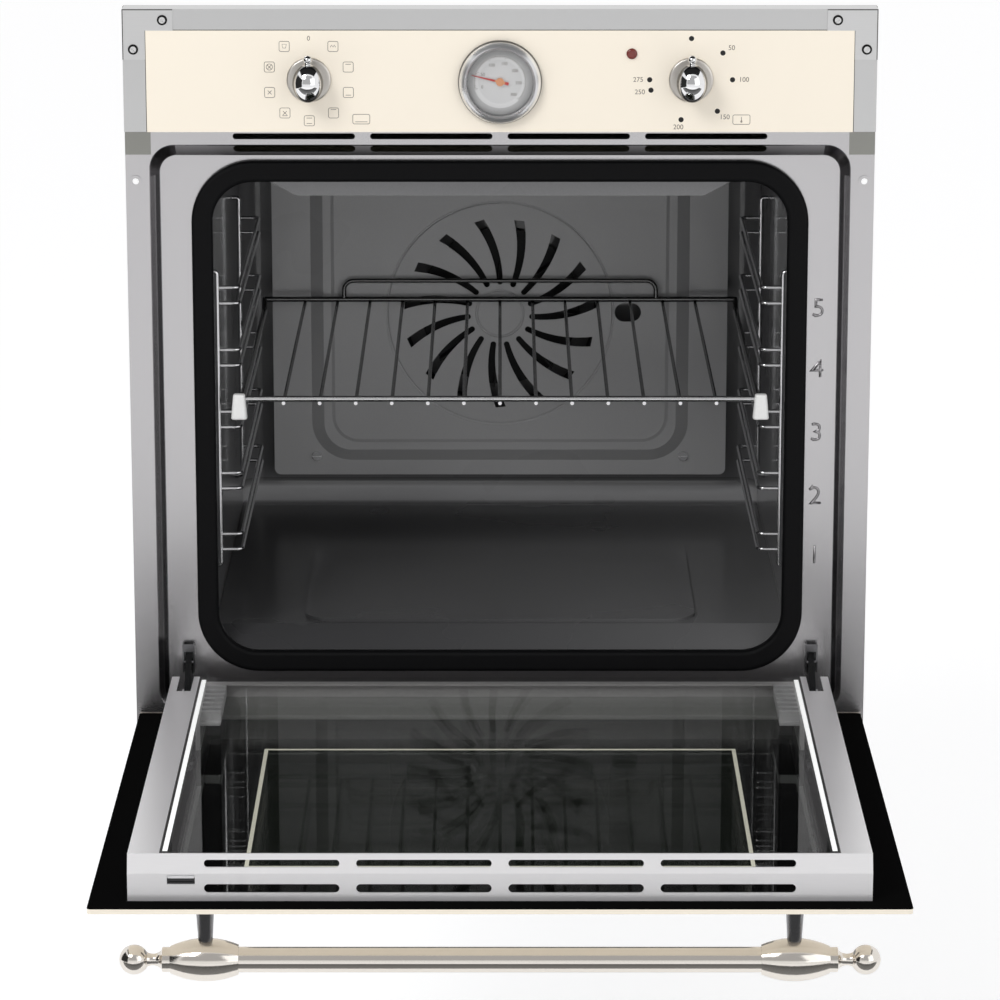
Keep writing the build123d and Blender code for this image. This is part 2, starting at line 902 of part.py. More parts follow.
def cover_screws():
    screws = []
    front = cover_front - cover_screw_rise
    for x, z in cover_screw_places():
        screw = from_front(Pos(x, z) * Circle(cover_screw_head), front, cover_screw_rise)
        shank = Pos(x, z) * Circle(cover_screw_hole - cover_screw_fit)
        screw += from_front(shank, cover_front, cavity_back - cover_front)
        slot = Pos(x, z) * Rectangle(2 * cover_screw_head, cover_screw_slot)
        screws.append(screw - from_front(slot, front, cover_screw_rise / 2))
    return screws


# Convection fan

def convection_fan():
    """A backed wheel of bent blades on its shaft."""
    back = cavity_back - fan_gap
    centre = Pos(0, fan_height)
    wheel = from_front(centre * Circle(fan_radius), back - fan_disc, fan_disc)
    wheel += from_front(centre * Circle(fan_hub), back - fan_depth, fan_depth)
    blade = Rectangle(fan_radius - fan_hub + 2 * fan_disc, fan_blade_thickness)
    blade = Rot(0, 0, fan_blade_angle) * Pos((fan_radius + fan_hub) / 2, 0) * blade
    for n in range(fan_blades):
        placed = centre * Rot(0, 0, n * 360 / fan_blades) * Pos(0, fan_blade_offset) * blade
        wheel += from_front(placed, back - fan_depth, fan_depth)
    wheel &= from_front(centre * Circle(fan_radius), back - fan_depth, fan_depth)
    shaft_end = cavity_back + cavity_sheet + motor_setback + motor_length - shaft_end_gap
    wheel += from_front(centre * Circle(shaft_radius), back, shaft_end - back)
    return wheel


def fan_motor():
    """The motor, on a bent strap that holds it off the cavity's back wall."""
    start = cavity_back + cavity_sheet + motor_setback
    centre = Pos(0, fan_height)
    body = from_front(centre * Circle(motor_radius), start, motor_length)
    body = chamfer(body.edges().sort_by(Axis.Y)[-1], motor_chamfer)
    half, tall = motor_foot_width / 2, motor_foot_height / 2
    strap = area(-half, half, fan_height - tall, fan_height + tall)
    body += from_front(strap, start, strap_thickness)
    for side in (-1, 1):
        x = side * (half - strap_foot)
        body += block(x - strap_foot, x + strap_foot, start - motor_setback, start,
                      fan_height - tall, fan_height + tall)
    bore = centre * Circle(shaft_radius + shaft_running_gap)
    return body - from_front(bore, start, motor_length - shaft_end_gap / 2)


# Heating elements

def element_loop(z, lead, half, front, back, bend):
    """A flat loop with its two leads side by side at the back."""
    left = [(-lead, lead_end, z), (-lead, back, z), (-half, back, z), (-half, front, z)]
    right = [(-x, y, z) for x, y, z in reversed(left)]
    return bent_bar(left + right, element_radius, bend)


def grill_element():
    """The two loops of the grill under the ceiling."""
    z = grill_height
    outer = element_loop(z, grill_lead, grill_half_width, grill_front, grill_back, element_bend)
    inner = element_loop(z, grill_inner_lead, grill_inner_half_width, grill_inner_front, grill_inner_back,
                         grill_inner_bend)
    return [outer, inner]


def ring_element():
    """The ring round the convection fan, with its two leads."""
    y = cavity_back - ring_setback
    x = ring_lead
    low = fan_height - ring_radius
    start, end = (-x, y, low), (x, y, low)
    arc = ThreePointArc(start, (0, y, fan_height + ring_radius), end)
    profile = Plane(origin=arc @ 0, z_dir=arc % 0) * Circle(element_radius)
    ring = sweep(profile, path=arc)
    ring += bar((-x, y, low), (-x, lead_end, low), element_radius)
    ring += bar((x, y, low), (x, lead_end, low), element_radius)
    return ring


def lower_element():
    """The element under the cavity's floor."""
    z, half, inner, lead = lower_element_height, lower_half_width, lower_inner_half_width, lower_lead
    left = [(-lead, lead_end, z), (-lead, lower_back, z), (-half, lower_back, z), (-half, lower_front, z),
            (-inner, lower_front, z), (-inner, lower_back - lower_return, z)]
    right = [(-x, y, z) for x, y, z in reversed(left)]
    return bent_bar(left + right, element_radius, element_bend)


# Cavity lamp

def lamp_disc(radius, x, width):
    return from_side(Pos(lamp_y, lamp_z) * Circle(radius), x, width)


def lamp_glass():
    """The domed glass, seated on the wall's inner face round the lamp's hole."""
    x = cavity_half
    dome = lamp_disc(lamp_radius, x - lamp_dome, lamp_dome)
    dome = fillet(dome.edges().sort_by(Axis.X)[0], lamp_dome * 0.7)
    return dome - lamp_disc(lamp_radius - lamp_flange, x - lamp_dome + lamp_glass_wall, lamp_dome)


def lamp_housing():
    """The can outside the wall, with the socket and its bulb."""
    x, length, t = liner_half, lamp_can_length, cavity_sheet
    can = lamp_disc(lamp_radius, x, length) - lamp_disc(lamp_radius - t, x, length - t)
    can += lamp_disc(lamp_socket_radius, x + length / 3, length * 2 / 3)
    return can + Pos(x + length / 3, lamp_y, lamp_z) * Sphere(lamp_bulb_radius)


# Insulation

def insulation():
    """The mineral wool wrapped round the cavity, with windows for the motor, leads and lamp."""
    half, t, y1 = wool_side, wool_thickness, wool_back
    wool = block(-half - t, half + t, wool_front, y1 + t, wool_bottom - t, wool_top + t)
    wool -= block(-half, half, wool_front - 1, y1, wool_bottom, wool_top)
    wide = motor_foot_width / 2 + wool_clearance
    room = wool_clearance
    windows = [
        area(-wide, wide, fan_height - ring_radius - 2 * room, fan_height + motor_radius + room),
        area(-grill_lead - room, grill_lead + room, grill_height - 2 * room, wool_top),
        area(-lower_lead - room, lower_lead + room, wool_bottom, lower_element_height + room),
    ]
    for window in windows:
        wool -= from_front(window, y1 - 1, t + 2)
    return wool - lamp_disc(lamp_radius + 2, half - 1, t + 2)


# Shelf ladders and the wire shelf

def ladder_stud_places():
    return [(ladder_back, stud_z), (ladder_front, stud_z)]


def shelf_ladder():
    """The right ladder: two uprights and a pair of bent rails at each level."""
    pieces = []
    for y, top in ((ladder_front, ladder_front_top), (ladder_back, ladder_back_top)):
        upright = [(cavity_half - stud_head, y, stud_z), (ladder_x, y, stud_z), (ladder_x, y, top),
                   (ladder_x + ladder_hook, y, top)]
        pieces.append(bent_bar(upright, wire_radius, wire_radius * 1.2))
    for low in level_heights:
        for z in (low, low + rail_pair):
            path = [(ladder_x, ladder_front, z), (rail_line, ladder_front, z),
                    (rail_line, ladder_back, z), (ladder_x, ladder_back, z)]
            pieces.append(bent_bar(path, rail_radius, ladder_bend))
    return pieces[0] + pieces[1:]


def ladder_studs():
    """The headed studs in the side walls that the ladders' feet rest on."""
    studs = []
    x = cavity_half
    for y, z in ladder_stud_places():
        stud = bar((x - stud_head, y, z), (x, y, z), stud_radius)
        studs += both_sides(stud + bar((x, y, z), (x + cavity_sheet, y, z), stud_shank - shaft_running_gap))
    return studs


def shelf_frame(radius):
    """The shelf's outer wire: ends raised above the sides, which run low along the rails."""
    x, low, high = rail_line, shelf_z, shelf_z + shelf_rise
    y0, y1 = shelf_front, shelf_back
    frame = bar((-x, y0, high), (x, y0, high), radius)
    frame += bar((-x, y1, high), (x, y1, high), radius)
    for side in (-x, x):
        path = [(side, y0, high), (side, y0 + shelf_rise, low),
                (side, y1 - shelf_rise, low), (side, y1, high)]
        frame += bent_bar(path, radius, shelf_bend)
        for y in (y0, y1):
            frame += Pos(side, y, high) * Sphere(radius)
    return frame


def wire_shelf():
    """The shelf: cross bars under the raised ends, and a hoop that stops food at the back."""
    high = shelf_z + shelf_rise
    under = high - shelf_wire_radius - shelf_bar_radius + shelf_weld
    shelf = shelf_frame(shelf_wire_radius)
    for n in range(shelf_bars):
        x = (n - (shelf_bars - 1) / 2) * shelf_bar_pitch
        start, end = shelf_front - shelf_bar_end, shelf_back + shelf_bar_end
        shelf += bar((x, start, under), (x, end, under), shelf_bar_radius)
    top, half, y = high + hoop_rise, hoop_width / 2, shelf_back
    hoop = [(-half, y, high), (-half, y, top), (half, y, top), (half, y, high)]
    return shelf + bent_bar(hoop, hoop_wire_radius, hoop_bend)


def shelf_caps():
    """White bumpers over the front corners of the shelf."""
    top = shelf_z + shelf_rise + shelf_wire_radius + cap_cover
    wires = shelf_frame(shelf_wire_radius + shaft_running_gap)
    caps = []
    for side in (-1, 1):
        at = Pos(side * rail_line, shelf_front - cap_setback)
        foot = Plane.XY.offset(top - cap_height) * at * RectangleRounded(cap_width, cap_depth, cap_corner)
        head = RectangleRounded(cap_width - cap_taper, cap_depth - cap_taper / 2, cap_corner - 1)
        cap = loft([foot, Plane.XY.offset(top) * at * head], ruled=True)
        cap = fillet(cap.edges().group_by(Axis.Z)[-1] + cap.edges().group_by(Axis.Z)[0], cap_edge)
        caps.append(cap - wires)
    return caps


# Control panel

def panel_trim():
    """The steel shell of the control panel, open at the back and windowed behind the fascia."""
    half = panel_half
    shell = block(-half, half, fascia_back, 0, panel_bottom, oven_height)
    shell -= block(-half + sheet, half - sheet, fascia_back + sheet, 0,
                   panel_bottom + sheet, oven_height - sheet)
    inner = fascia_half - fascia_ledge
    window = area(-inner, inner, panel_bottom + fascia_ledge, fascia_top - fascia_ledge, fascia_window_corner)
    return shell - from_front(window, fascia_back, sheet)


def control_fascia():
    plate = area(-fascia_half, fascia_half, panel_bottom, fascia_top)
    plate = from_front(plate, panel_front, fascia_thickness)
    holes = [Pos(pilot_x, pilot_z) * Circle(pilot_radius)]
    holes.append(Pos(0, gauge_z) * Circle(gauge_case_radius + gauge_hole_gap))
    holes += [Pos(x, knob_z) * Circle(spindle_hole) for x in (-knob_x, knob_x)]
    for hole in holes:
        plate -= from_front(hole, panel_front, fascia_thickness)
    return plate


def bracket_screw_places():
    inset, reach = bracket_screw_inset, bracket_screw_reach
    return [(panel_half - inset, oven_height - reach), (panel_half - reach, oven_height - inset)]


def corner_brackets():
    """The L-shaped plates that close the upper corners of the trim."""
    half = panel_half
    side = area(half - bracket_arm, half, oven_height - bracket_size, oven_height)
    top = area(half - bracket_size, half, fascia_top, oven_height)
    plate = from_front(side + top, panel_front, fascia_thickness)
    for x, z in bracket_screw_places():
        plate -= from_front(Pos(x, z) * Circle(bracket_screw_shank), panel_front, fascia_thickness)
    return both_sides(plate)


def bracket_screws():
    screws = []
    for x, z in bracket_screw_places():
        start = panel_front - bracket_screw_head
        head = from_front(Pos(x, z) * Circle(bracket_screw_radius), start, bracket_screw_head)
        head = chamfer(head.edges().sort_by(Axis.Y)[0], bracket_screw_edge)
        shank = Pos(x, z) * Circle(bracket_screw_shank - bracket_screw_fit)
        shank = from_front(shank, panel_front, fascia_thickness)
        slot = Rot(0, 0, bracket_screw_turn) * Rectangle(2 * bracket_screw_radius, bracket_screw_slot)
        slot = Pos(x, z) * slot
        screws += both_sides(head + shank - from_front(slot, start, bracket_screw_head / 2))
    return screws


# Knobs

def knob_rings():
    start = panel_front - knob_ring_height
    ring = from_front(Pos(knob_x, knob_z) * Circle(knob_ring_radius), start, knob_ring_height)
    ring = fillet(ring.edges().sort_by(Axis.Y)[0], knob_ring_height * 0.6)
    bore = Pos(knob_x, knob_z) * Circle(knob_ring_bore)
    return both_sides(ring - from_front(bore, start, knob_ring_height))


def knob(x):
    """An egg-shaped grip across the spindle, with a beaded pointer on top."""
    y = panel_front - knob_reach
    r, tall = knob_radius, knob_half_height
    end_radius, end_z = knob_end_radius, tall - knob_end_radius
    side_radius = (r ** 2 + end_z ** 2 - end_radius ** 2) / (2 * (r - end_radius))
    reach = hypot(side_radius - r, end_z)
    meet_x = end_radius * (side_radius - r) / reach
    meet_z = end_z + end_radius * end_z / reach
    collar = pointer_collar_radius
    collar_z = end_z + sqrt(end_radius ** 2 - collar ** 2)
    bead_z = pointer_rise - pointer_radius
    waist = pointer_waist_radius
    bead_start = (waist, bead_z - sqrt(pointer_radius ** 2 - waist ** 2))
    shoulder = end_z + end_radius * cos(radians(30))
    section = make_face([
        ThreePointArc((0, -tall), (end_radius * sin(radians(30)), -shoulder), (meet_x, -meet_z)),
        ThreePointArc((meet_x, -meet_z), (r, 0), (meet_x, meet_z)),
        ThreePointArc((meet_x, meet_z), (end_radius * sin(radians(30)), shoulder), (collar, collar_z)),
        Polyline((collar, collar_z), (collar, collar_z + 1), bead_start),
        ThreePointArc(bead_start, (pointer_radius, bead_z), (0, bead_z + pointer_radius)),
        Line((0, bead_z + pointer_radius), (0, -tall)),
    ])
    body = revolve(Plane.XZ * section, axis=Axis.Z)
    body = Pos(x, y, knob_z) * body
    neck_start = panel_front - knob_neck_gap
    body += from_front(Pos(x, knob_z) * Circle(knob_neck_radius), y, neck_start - y)
    bore = Pos(x, knob_z) * Circle(spindle_radius)
    return body - from_front(bore, neck_start - spindle_in_knob, spindle_in_knob)


def spindle(x):
    start = panel_front - knob_neck_gap - spindle_in_knob
    return from_front(Pos(x, knob_z) * Circle(spindle_radius), start, spindle_depth - start)


def tabs(x, z, y, width):
    """Flat terminal tabs along the back of a switch."""
    pieces = []
    for n in range(tab_count):
        at = x + (n - (tab_count - 1) / 2) * width / (tab_count + 1)
        tab = Pos(at, z) * Rectangle(tab_width, tab_thickness)
        pieces.append(from_front(tab, y, tab_length))
    return pieces


def switch_body(x, width, height, depth):
    """A switch bolted behind the front frame, with its spindle's bush."""
    section = area(x - width / 2, x + width / 2, knob_z - height / 2, knob_z + height / 2, switch_corner)
    body = from_front(section, sheet, depth)
    for z in (-height / 4, height / 4):
        body += tabs(x, knob_z + z, sheet + depth, width)
    bush = Pos(x, knob_z) * Circle(spindle_radius + shaft_running_gap)
    return body - from_front(bush, sheet, spindle_depth)


def pilot_lamp():
    centre = Pos(pilot_x, pilot_z)
    lens = from_front(centre * Circle(pilot_radius + pilot_flange), panel_front - pilot_rise, pilot_rise)
    lens = fillet(lens.edges().sort_by(Axis.Y)[0], pilot_rise * 0.9)
    return lens + from_front(centre * Circle(pilot_radius - pilot_fit), panel_front, pilot_length)


# Thermometer

def turned(profile, x, z):
    """Turns a half section (radius, depth) about a line along Y through (x, z)."""
    section = Plane(origin=(x, 0, z), x_dir=(1, 0, 0), z_dir=(0, 0, 1)) * profile
    return revolve(section, axis=Axis((x, 0, z), (0, 1, 0)))


def gauge_case():
    """The can of the thermometer, with its rolled bezel in front of the fascia."""
    front = panel_front - gauge_rise
    back = front + gauge_glass_setback
    crest = gauge_radius - gauge_crest
    base = Line((gauge_lip, panel_front), (gauge_radius, panel_front))
    outer = ThreePointArc((gauge_radius, panel_front), (gauge_radius - gauge_bulge, front + gauge_bulge_drop),
                          (crest, front))
    lip = ThreePointArc((crest, front), (gauge_lip + gauge_lip_bulge, front + gauge_lip_drop),
                        (gauge_lip, back))
    wall = Line((gauge_lip, back), (gauge_lip, panel_front))
    ring = turned(make_face([base, outer, lip, wall]), 0, gauge_z)
    can = Pos(0, gauge_z) * Circle(gauge_case_radius)
    case = ring - from_front(can, back, gauge_rise)
    case += from_front(can, back, gauge_case_depth)
    inside = Pos(0, gauge_z) * Circle(gauge_case_radius - gauge_wall)
    return case - from_front(inside, back, gauge_case_depth - gauge_wall)


def gauge_window():
    start = panel_front - gauge_rise + gauge_glass_setback
    disc = Circle(gauge_case_radius - gauge_wall - gauge_glass_fit)
    return from_front(Pos(0, gauge_z) * disc, start, gauge_glass)


def gauge_dial():
    centre = Pos(0, gauge_z)
    plate = centre * Circle(gauge_case_radius - gauge_wall - gauge_glass_fit)
    disc = from_front(plate, dial_front, dial_thickness)
    disc += from_front(centre * Circle(dial_boss), dial_front, can_back - dial_front)
    bore = centre * Circle(needle_pin + shaft_running_gap)
    return disc - from_front(bore, dial_front, needle_pin_length)


def gauge_needle():
    y = dial_front - needle_lift
    centre = Pos(0, gauge_z)
    root, tip, end = needle_root_half, needle_tip_half, needle_tail_half
    blade = outline((0, -root), (needle_length, -tip), (needle_length, tip), (0, root),
                    (-needle_tail, end), (-needle_tail, -end))
    needle = from_front(centre * Rot(0, 0, needle_angle) * blade, y, needle_thickness)
    needle += from_front(centre * Circle(needle_hub), y - needle_hub_height / 2, needle_hub_height)
    return needle + from_front(centre * Circle(needle_pin), y, needle_pin_length)


# Cooling blower

def cooling_duct():
    """The flat duct from the blower's round end to the front slots, on the divider over the cavity."""
    half, r = duct_half, blower_housing_radius
    front = face_back + duct_start
    middle = front + duct_length / 2
    back = blower_y - blower_radius
    plan = area(-half, half, front, middle) + outline((-half, middle), (half, middle), (r, back), (-r, back))
    plan += area(-r, r, back, blower_y) + Pos(0, blower_y) * Circle(r)
    duct = from_above(plan, duct_bottom, duct_height)
    duct -= from_above(offset(plan, amount=-sheet), duct_bottom + sheet, duct_height - 2 * sheet)
    duct -= block(sheet - half, half - sheet, front, front + 2 * sheet, duct_bottom + sheet, duct_top - sheet)
    inlet = Pos(0, blower_y) * Circle(blower_inlet_radius)
    duct -= from_above(inlet, duct_top - sheet, sheet)
    return duct + block(-casing_inside, casing_inside, front, casing_depth - sheet,
                        duct_bottom, duct_bottom + sheet)


def blower_wheel():
    """A drum of upright blades on a disc, with its hub on the motor's shaft."""
    z = duct_bottom + 3 * sheet
    centre = Pos(0, blower_y)
    wheel = from_above(centre * Circle(blower_radius), z, sheet)
    ring = Circle(blower_radius) - Circle(blower_radius - blower_ring_width)
    wheel += from_above(centre * ring, z + blower_wheel_height - sheet, sheet)
    blade = Rot(0, 0, blower_blade_angle) * Rectangle(blower_blade_width, blower_blade_thickness)
    blade = Pos(blower_radius - blower_blade_inset, 0) * blade
    for n in range(blower_blades):
        wheel += from_above(centre * Rot(0, 0, n * 360 / blower_blades) * blade, z, blower_wheel_height)
    wheel += from_above(centre * Circle(blower_hub_radius), z, blower_hub_height)
    wheel += from_above(centre * Circle(shaft_radius), z, duct_top - blower_shaft_drop - z)
    return wheel & from_above(centre * Circle(blower_radius), z, duct_height)


def blower_motor():
    """The flat motor inside the wheel, hung from three legs on the duct's top."""
    bottom = duct_top - blower_motor_drop
    height = blower_motor_drop + blower_leg_thickness
    centre = Pos(0, blower_y)
    motor = from_above(centre * Circle(blower_motor_radius), bottom, height)
    leg = Pos(blower_leg_reach / 2, 0) * Rectangle(blower_leg_reach, blower_leg_width)
    for turn in (90, 210, 330):
        motor += from_above(centre * Rot(0, 0, turn) * leg, duct_top, blower_leg_thickness)
    return motor - from_above(centre * Circle(shaft_radius + shaft_running_gap), bottom, blower_motor_drop)


# Door, each piece drawn closed

def outer_glass():
    pane = area(-door_half, door_half, door_bottom, door_top, door_corner)
    return from_front(pane, door_front, glass_thickness)


def inner_glass():
    half = strip_inner - pane_gap
    pane = area(-half, half, body_bottom + pane_rise, body_shoulder - inner_pane_drop, pane_corner)
    return from_front(pane, seal_plane - glass_thickness, glass_thickness)


def middle_glass():
    half = strip_inner - middle_pane_side
    low = body_bottom + bottom_rail_height + pane_rise
    pane = area(-half, half, low, body_shoulder - middle_pane_drop, pane_corner)
    return from_front(pane, seal_plane - middle_pane_depth - glass_thickness, glass_thickness)


def side_profile():
    """The right strip: a channel that holds the panes apart and hides the hinge."""
    x0, x1 = strip_inner, body_half
    y0, y1 = glass_back, seal_plane
    t = strip_sheet
    section = outline((x1, y0), (x1, y1), (x0, y1), (x0, y1 - strip_lip), (x0 + t, y1 - strip_lip),
                      (x0 + t, y1 - t), (x1 - t, y1 - t), (x1 - t, y0 + t), (x1 - strip_foot, y0 + t),
                      (x1 - strip_foot, y0))
    strip = from_above(section, body_bottom, body_shoulder - body_bottom)
    slot = area(hinge_x - door_slot_width / 2, hinge_x + door_slot_width / 2, body_bottom, door_slot_top)
    return strip - from_front(slot, y1 - t, t)


def top_profile():
    """The slotted end of the door: an upright band and a slanted one."""
    half = body_half
    t = end_sheet
    y0, y1 = glass_back, seal_plane
    section = outline((y0, body_top), (body_top_front, body_top), (y1, body_shoulder + t),
                      (y1, body_shoulder), (body_top_front - t / 2, body_top - t), (y0, body_top - t))
    profile = from_side(section, -half, 2 * half)
    for column in vent_slot_columns:
        x = column * vent_slot_pitch
        lower = Pos(x, glass_back + end_slot_lower_rise) * SlotOverall(vent_slot_length, end_slot_lower)
        profile -= from_above(lower, body_top - t, t)
        upper = Pos(x, (body_top_front + seal_plane) / 2) * SlotOverall(vent_slot_length, end_slot_upper)
        profile -= from_above(upper, body_shoulder - t, 2 * t + body_top - body_shoulder)
    return profile - from_above(catch_outline(0), body_top - t, t)


def catch_outline(shrink):
    """The place of the catch in the door's end, seen along the door."""
    half = catch_width / 2 - shrink
    y0, y1 = body_top_front - catch_back + shrink, body_top_front - catch_front - shrink
    return area(catch_x - half, catch_x + half, y0, y1)


def door_catch():
    """The sprung tongue in the end of the door, in a small cup with a rim."""
    under = body_top - end_sheet
    bottom = body_top - catch_depth
    cup = from_above(catch_outline(catch_gap), bottom, under - bottom)
    cup -= from_above(catch_outline(catch_gap + catch_wall), bottom + catch_wall, under - bottom)
    half = catch_width / 2
    y0, y1 = body_top_front - catch_back, body_top_front - catch_front
    rim = area(catch_x - half - catch_rim, catch_x + half + catch_rim, y0 - catch_rim, y1 + catch_lip)
    cup += from_above(rim - catch_outline(catch_gap), under - catch_wall, catch_wall)
    half -= tongue_gap
    y1 -= tongue_gap
    return cup + block(catch_x - half, catch_x + half, y1 - tongue_thickness, y1,
                       bottom + catch_wall, body_top + tongue_rise)


def bottom_profile():
    """The rail along the door's hinge edge, between the side strips."""
    half = strip_inner - bottom_rail_gap
    t = end_sheet
    y0, y1 = glass_back, seal_plane - glass_thickness - pane_gap
    z0, z1 = body_bottom, body_bottom + bottom_rail_height
    rail = block(-half, half, y0, y1, z0, z0 + t)
    rail += block(-half, half, y0, y0 + t, z0, z1)
    return rail + block(-half, half, y1 - t, y1, z0, z1)


def glass_holders():
    """Ribbed corner holders that keep the panes apart at the hinge edge."""
    x1 = strip_inner - bottom_rail_gap
    x0 = x1 - holder_width
    y0 = seal_plane - middle_pane_depth + pane_gap
    y1 = seal_plane - glass_thickness - pane_gap
    z0 = body_bottom + bottom_rail_height
    z1 = z0 + holder_length
    holder = block(x0, x1, y0, y0 + holder_skin, z0, z1)
    holder += block(x1 - holder_spine, x1, glass_back, y1, z0, z1)
    for n in range(holder_steps):
        z = z0 + n * holder_length / holder_steps
        holder += block(x0, x1, y0, y1, z, z + holder_rib)
    return both_sides(holder)


# Hinges

def hinge_arms():
    """The fixed arms: an eye round the door's pin and a hooked tail behind the frame."""
    tail = face_back + receiver_depth - receiver_room
    hook = tail - arm_tail_length
    upper, lower = arm_middle + arm_height / 2, arm_middle - arm_height / 2
    link = outline((hinge_y - arm_root_near, hinge_z + arm_root_far), (face_back - arm_bend_upper, upper),
                   (tail, upper), (tail, lower), (hook, lower), (hook, lower - arm_hook_depth),
                   (hook - arm_hook_width, lower - arm_hook_depth), (hook - arm_hook_width, lower),
                   (face_back + arm_bend_lower, lower), (hinge_y + arm_root_far, hinge_z - arm_root_near))
    arm = link + Pos(hinge_y, hinge_z) * Circle(arm_eye_radius)
    arm -= Pos(hinge_y, hinge_z) * Circle(arm_pin_radius + shaft_running_gap)
    arm -= Pos(rivet_y, rivet_z) * Circle(rivet_radius + shaft_running_gap)
    return both_sides(from_side(arm, hinge_x - arm_thickness / 2, arm_thickness))


def hinge_latches():
    """A bent stirrup round each arm in front of the frame, with a rivet through the arm."""
    half = latch_width / 2
    x0, x1 = hinge_x - half, hinge_x + half
    cheek = area(latch_front, recess_depth, latch_bottom, latch_top, latch_corner)
    latch = from_side(cheek, x0, latch_sheet) + from_side(cheek, x1 - latch_sheet, latch_sheet)
    latch += block(x0, x1, latch_front, latch_front + latch_sheet, latch_top - latch_bridge, latch_top)
    return both_sides(latch + bar((x0, rivet_y, rivet_z), (x1, rivet_y, rivet_z), rivet_radius))


def hinge_receivers():
    """Pressed boxes behind the frame that the arms hook into."""
    half, t = hinge_half, receiver_wall
    tall = arm_height / 2 + receiver_room
    y0, y1 = face_back, face_back + receiver_depth
    box = block(hinge_x - half - t, hinge_x + half + t, y0, y1, arm_middle - tall - t, arm_middle + tall + t)
    box -= block(hinge_x - half, hinge_x + half, y0, y1, arm_middle - tall, arm_middle + arm_height / 2)
    return both_sides(box)


def hinge_channels():
    """The door's half of each hinge: a channel whose cheeks carry the pin."""
    half, t = hinge_half, cheek_thickness
    y0 = glass_back + strip_sheet + pane_gap
    y1 = y0 + hinge_channel_depth
    z0 = hinge_z - hinge_channel_foot
    z1 = body_bottom + hinge_channel_length
    channel = block(hinge_x - half - t, hinge_x + half + t, y0, y1, z0, z1)
    channel -= block(hinge_x - half, hinge_x + half, y0 + t, y1, z0, z1)
    bore = Pos(hinge_y, hinge_z) * Circle(arm_pin_radius)
    return both_sides(channel - from_side(bore, hinge_x - half - t, 2 * (half + t)))


def hinge_pins():
    x0, x1 = hinge_x - hinge_half - cheek_thickness, hinge_x + hinge_half + cheek_thickness
    pin = bar((x0, hinge_y, hinge_z), (x1, hinge_y, hinge_z), arm_pin_radius)
    head = bar((x1, hinge_y, hinge_z), (x1 + pin_head, hinge_y, hinge_z), arm_pin_radius + pin_head_rim)
    return both_sides(pin + head)


# Handle

def handle_bar():
    return bar((-barrel_inner, handle_y, handle_z), (barrel_inner, handle_y, handle_z), handle_radius)


def handle_ends():
    """The turned fitting at each end: barrel, collar, neck and ball, in one piece."""
    x0 = barrel_inner
    x1 = x0 + barrel_length
    x2 = x1 + handle_collar_length
    x3 = x2 + handle_neck_length
    throat = handle_neck_radius + handle_neck_flare
    ball = x3 + sqrt(finial_radius ** 2 - throat ** 2)
    edge = handle_collar_radius - collar_edge_drop
    start = Line((x0, 0), (x0, barrel_inner_radius))
    belly = ThreePointArc((x0, barrel_inner_radius), (x0 + barrel_waist, barrel_radius),
                          (x1, barrel_end_radius))
    collar = Polyline((x1, barrel_end_radius), (x1, handle_collar_radius),
                      (x2 - collar_edge_length, handle_collar_radius), (x2, edge))
    neck = ThreePointArc((x2, edge), ((x2 + x3) / 2, handle_neck_radius), (x3, throat))
    sphere = ThreePointArc((x3, throat), (ball, finial_radius), (ball + finial_radius, 0))
    axis_line = Line((ball + finial_radius, 0), (x0, 0))
    section = make_face([start, belly, collar, neck, sphere, axis_line])
    fitting = revolve(section, axis=Axis.X)
    return both_sides(Pos(0, handle_y, handle_z) * fitting)


def handle_posts():
    """Tapered posts from the door's glass to the barrels."""
    centre = Pos(post_x, handle_z)
    length = handle_standoff - barrel_radius + post_in_barrel
    foot = Plane.XZ.offset(-door_front) * centre * Circle(post_base_radius)
    neck = Plane.XZ.offset(length - door_front) * centre * Circle(post_neck_radius)
    post = loft([foot, neck], ruled=True)
    barrel = handle_ends()[0]
    return both_sides(post - barrel)


# Every sub-part by name

oven_pieces = {
    "left_side_cover": lambda: mirror(side_cover(), about=Plane.YZ),
    "right_side_cover": side_cover,
    "base_tray": base_tray,
    "top_cover": top_cover,
    "rear_cover": rear_cover,
    "mains_inlet": mains_inlet,
    "front_frame": front_frame,
    "door_gasket": gasket,
    "cavity_liner": cavity_liner,
    "grill_deflector": grill_deflector,
    "fan_cover": fan_cover,
    "cavity_fasteners": lambda: cover_screws() + ladder_studs(),
    "convection_fan": convection_fan,
    "convection_motor": fan_motor,
    "grill_element": grill_element,
    "ring_element": ring_element,
    "lower_element": lower_element,
    "lamp_glass": lamp_glass,
    "lamp_housing": lamp_housing,
    "insulation": insulation,
    "left_shelf_ladder": lambda: mirror(shelf_ladder(), about=Plane.YZ),
    "right_shelf_ladder": shelf_ladder,
    "wire_shelf": wire_shelf,
    "shelf_caps": shelf_caps,
    "panel_trim": panel_trim,
    "control_fascia": control_fascia,
    "corner_brackets": corner_brackets,
    "bracket_screws": bracket_screws,
    "knob_rings": knob_rings,
    "selector_knob": lambda: knob(-knob_x),
    "selector_spindle": lambda: spindle(-knob_x),
    "thermostat_knob": lambda: knob(knob_x),
    "thermostat_spindle": lambda: spindle(knob_x),
    "selector_switch": lambda: switch_body(-knob_x, switch_size, switch_size, switch_depth),
    "thermostat": lambda: switch_body(knob_x, thermostat_width, thermostat_height, thermostat_depth),
    "pilot_lamp": pilot_lamp,
    "gauge_case": gauge_case,
    "gauge_window": gauge_window,
    "gauge_dial": gauge_dial,
    "gauge_needle": gauge_needle,
    "cooling_duct": cooling_duct,
    "blower_wheel": blower_wheel,
    "blower_motor": blower_motor,
    "hinge_arms": hinge_arms,
    "hinge_receivers": hinge_receivers,
    "hinge_latches": hinge_latches,
}

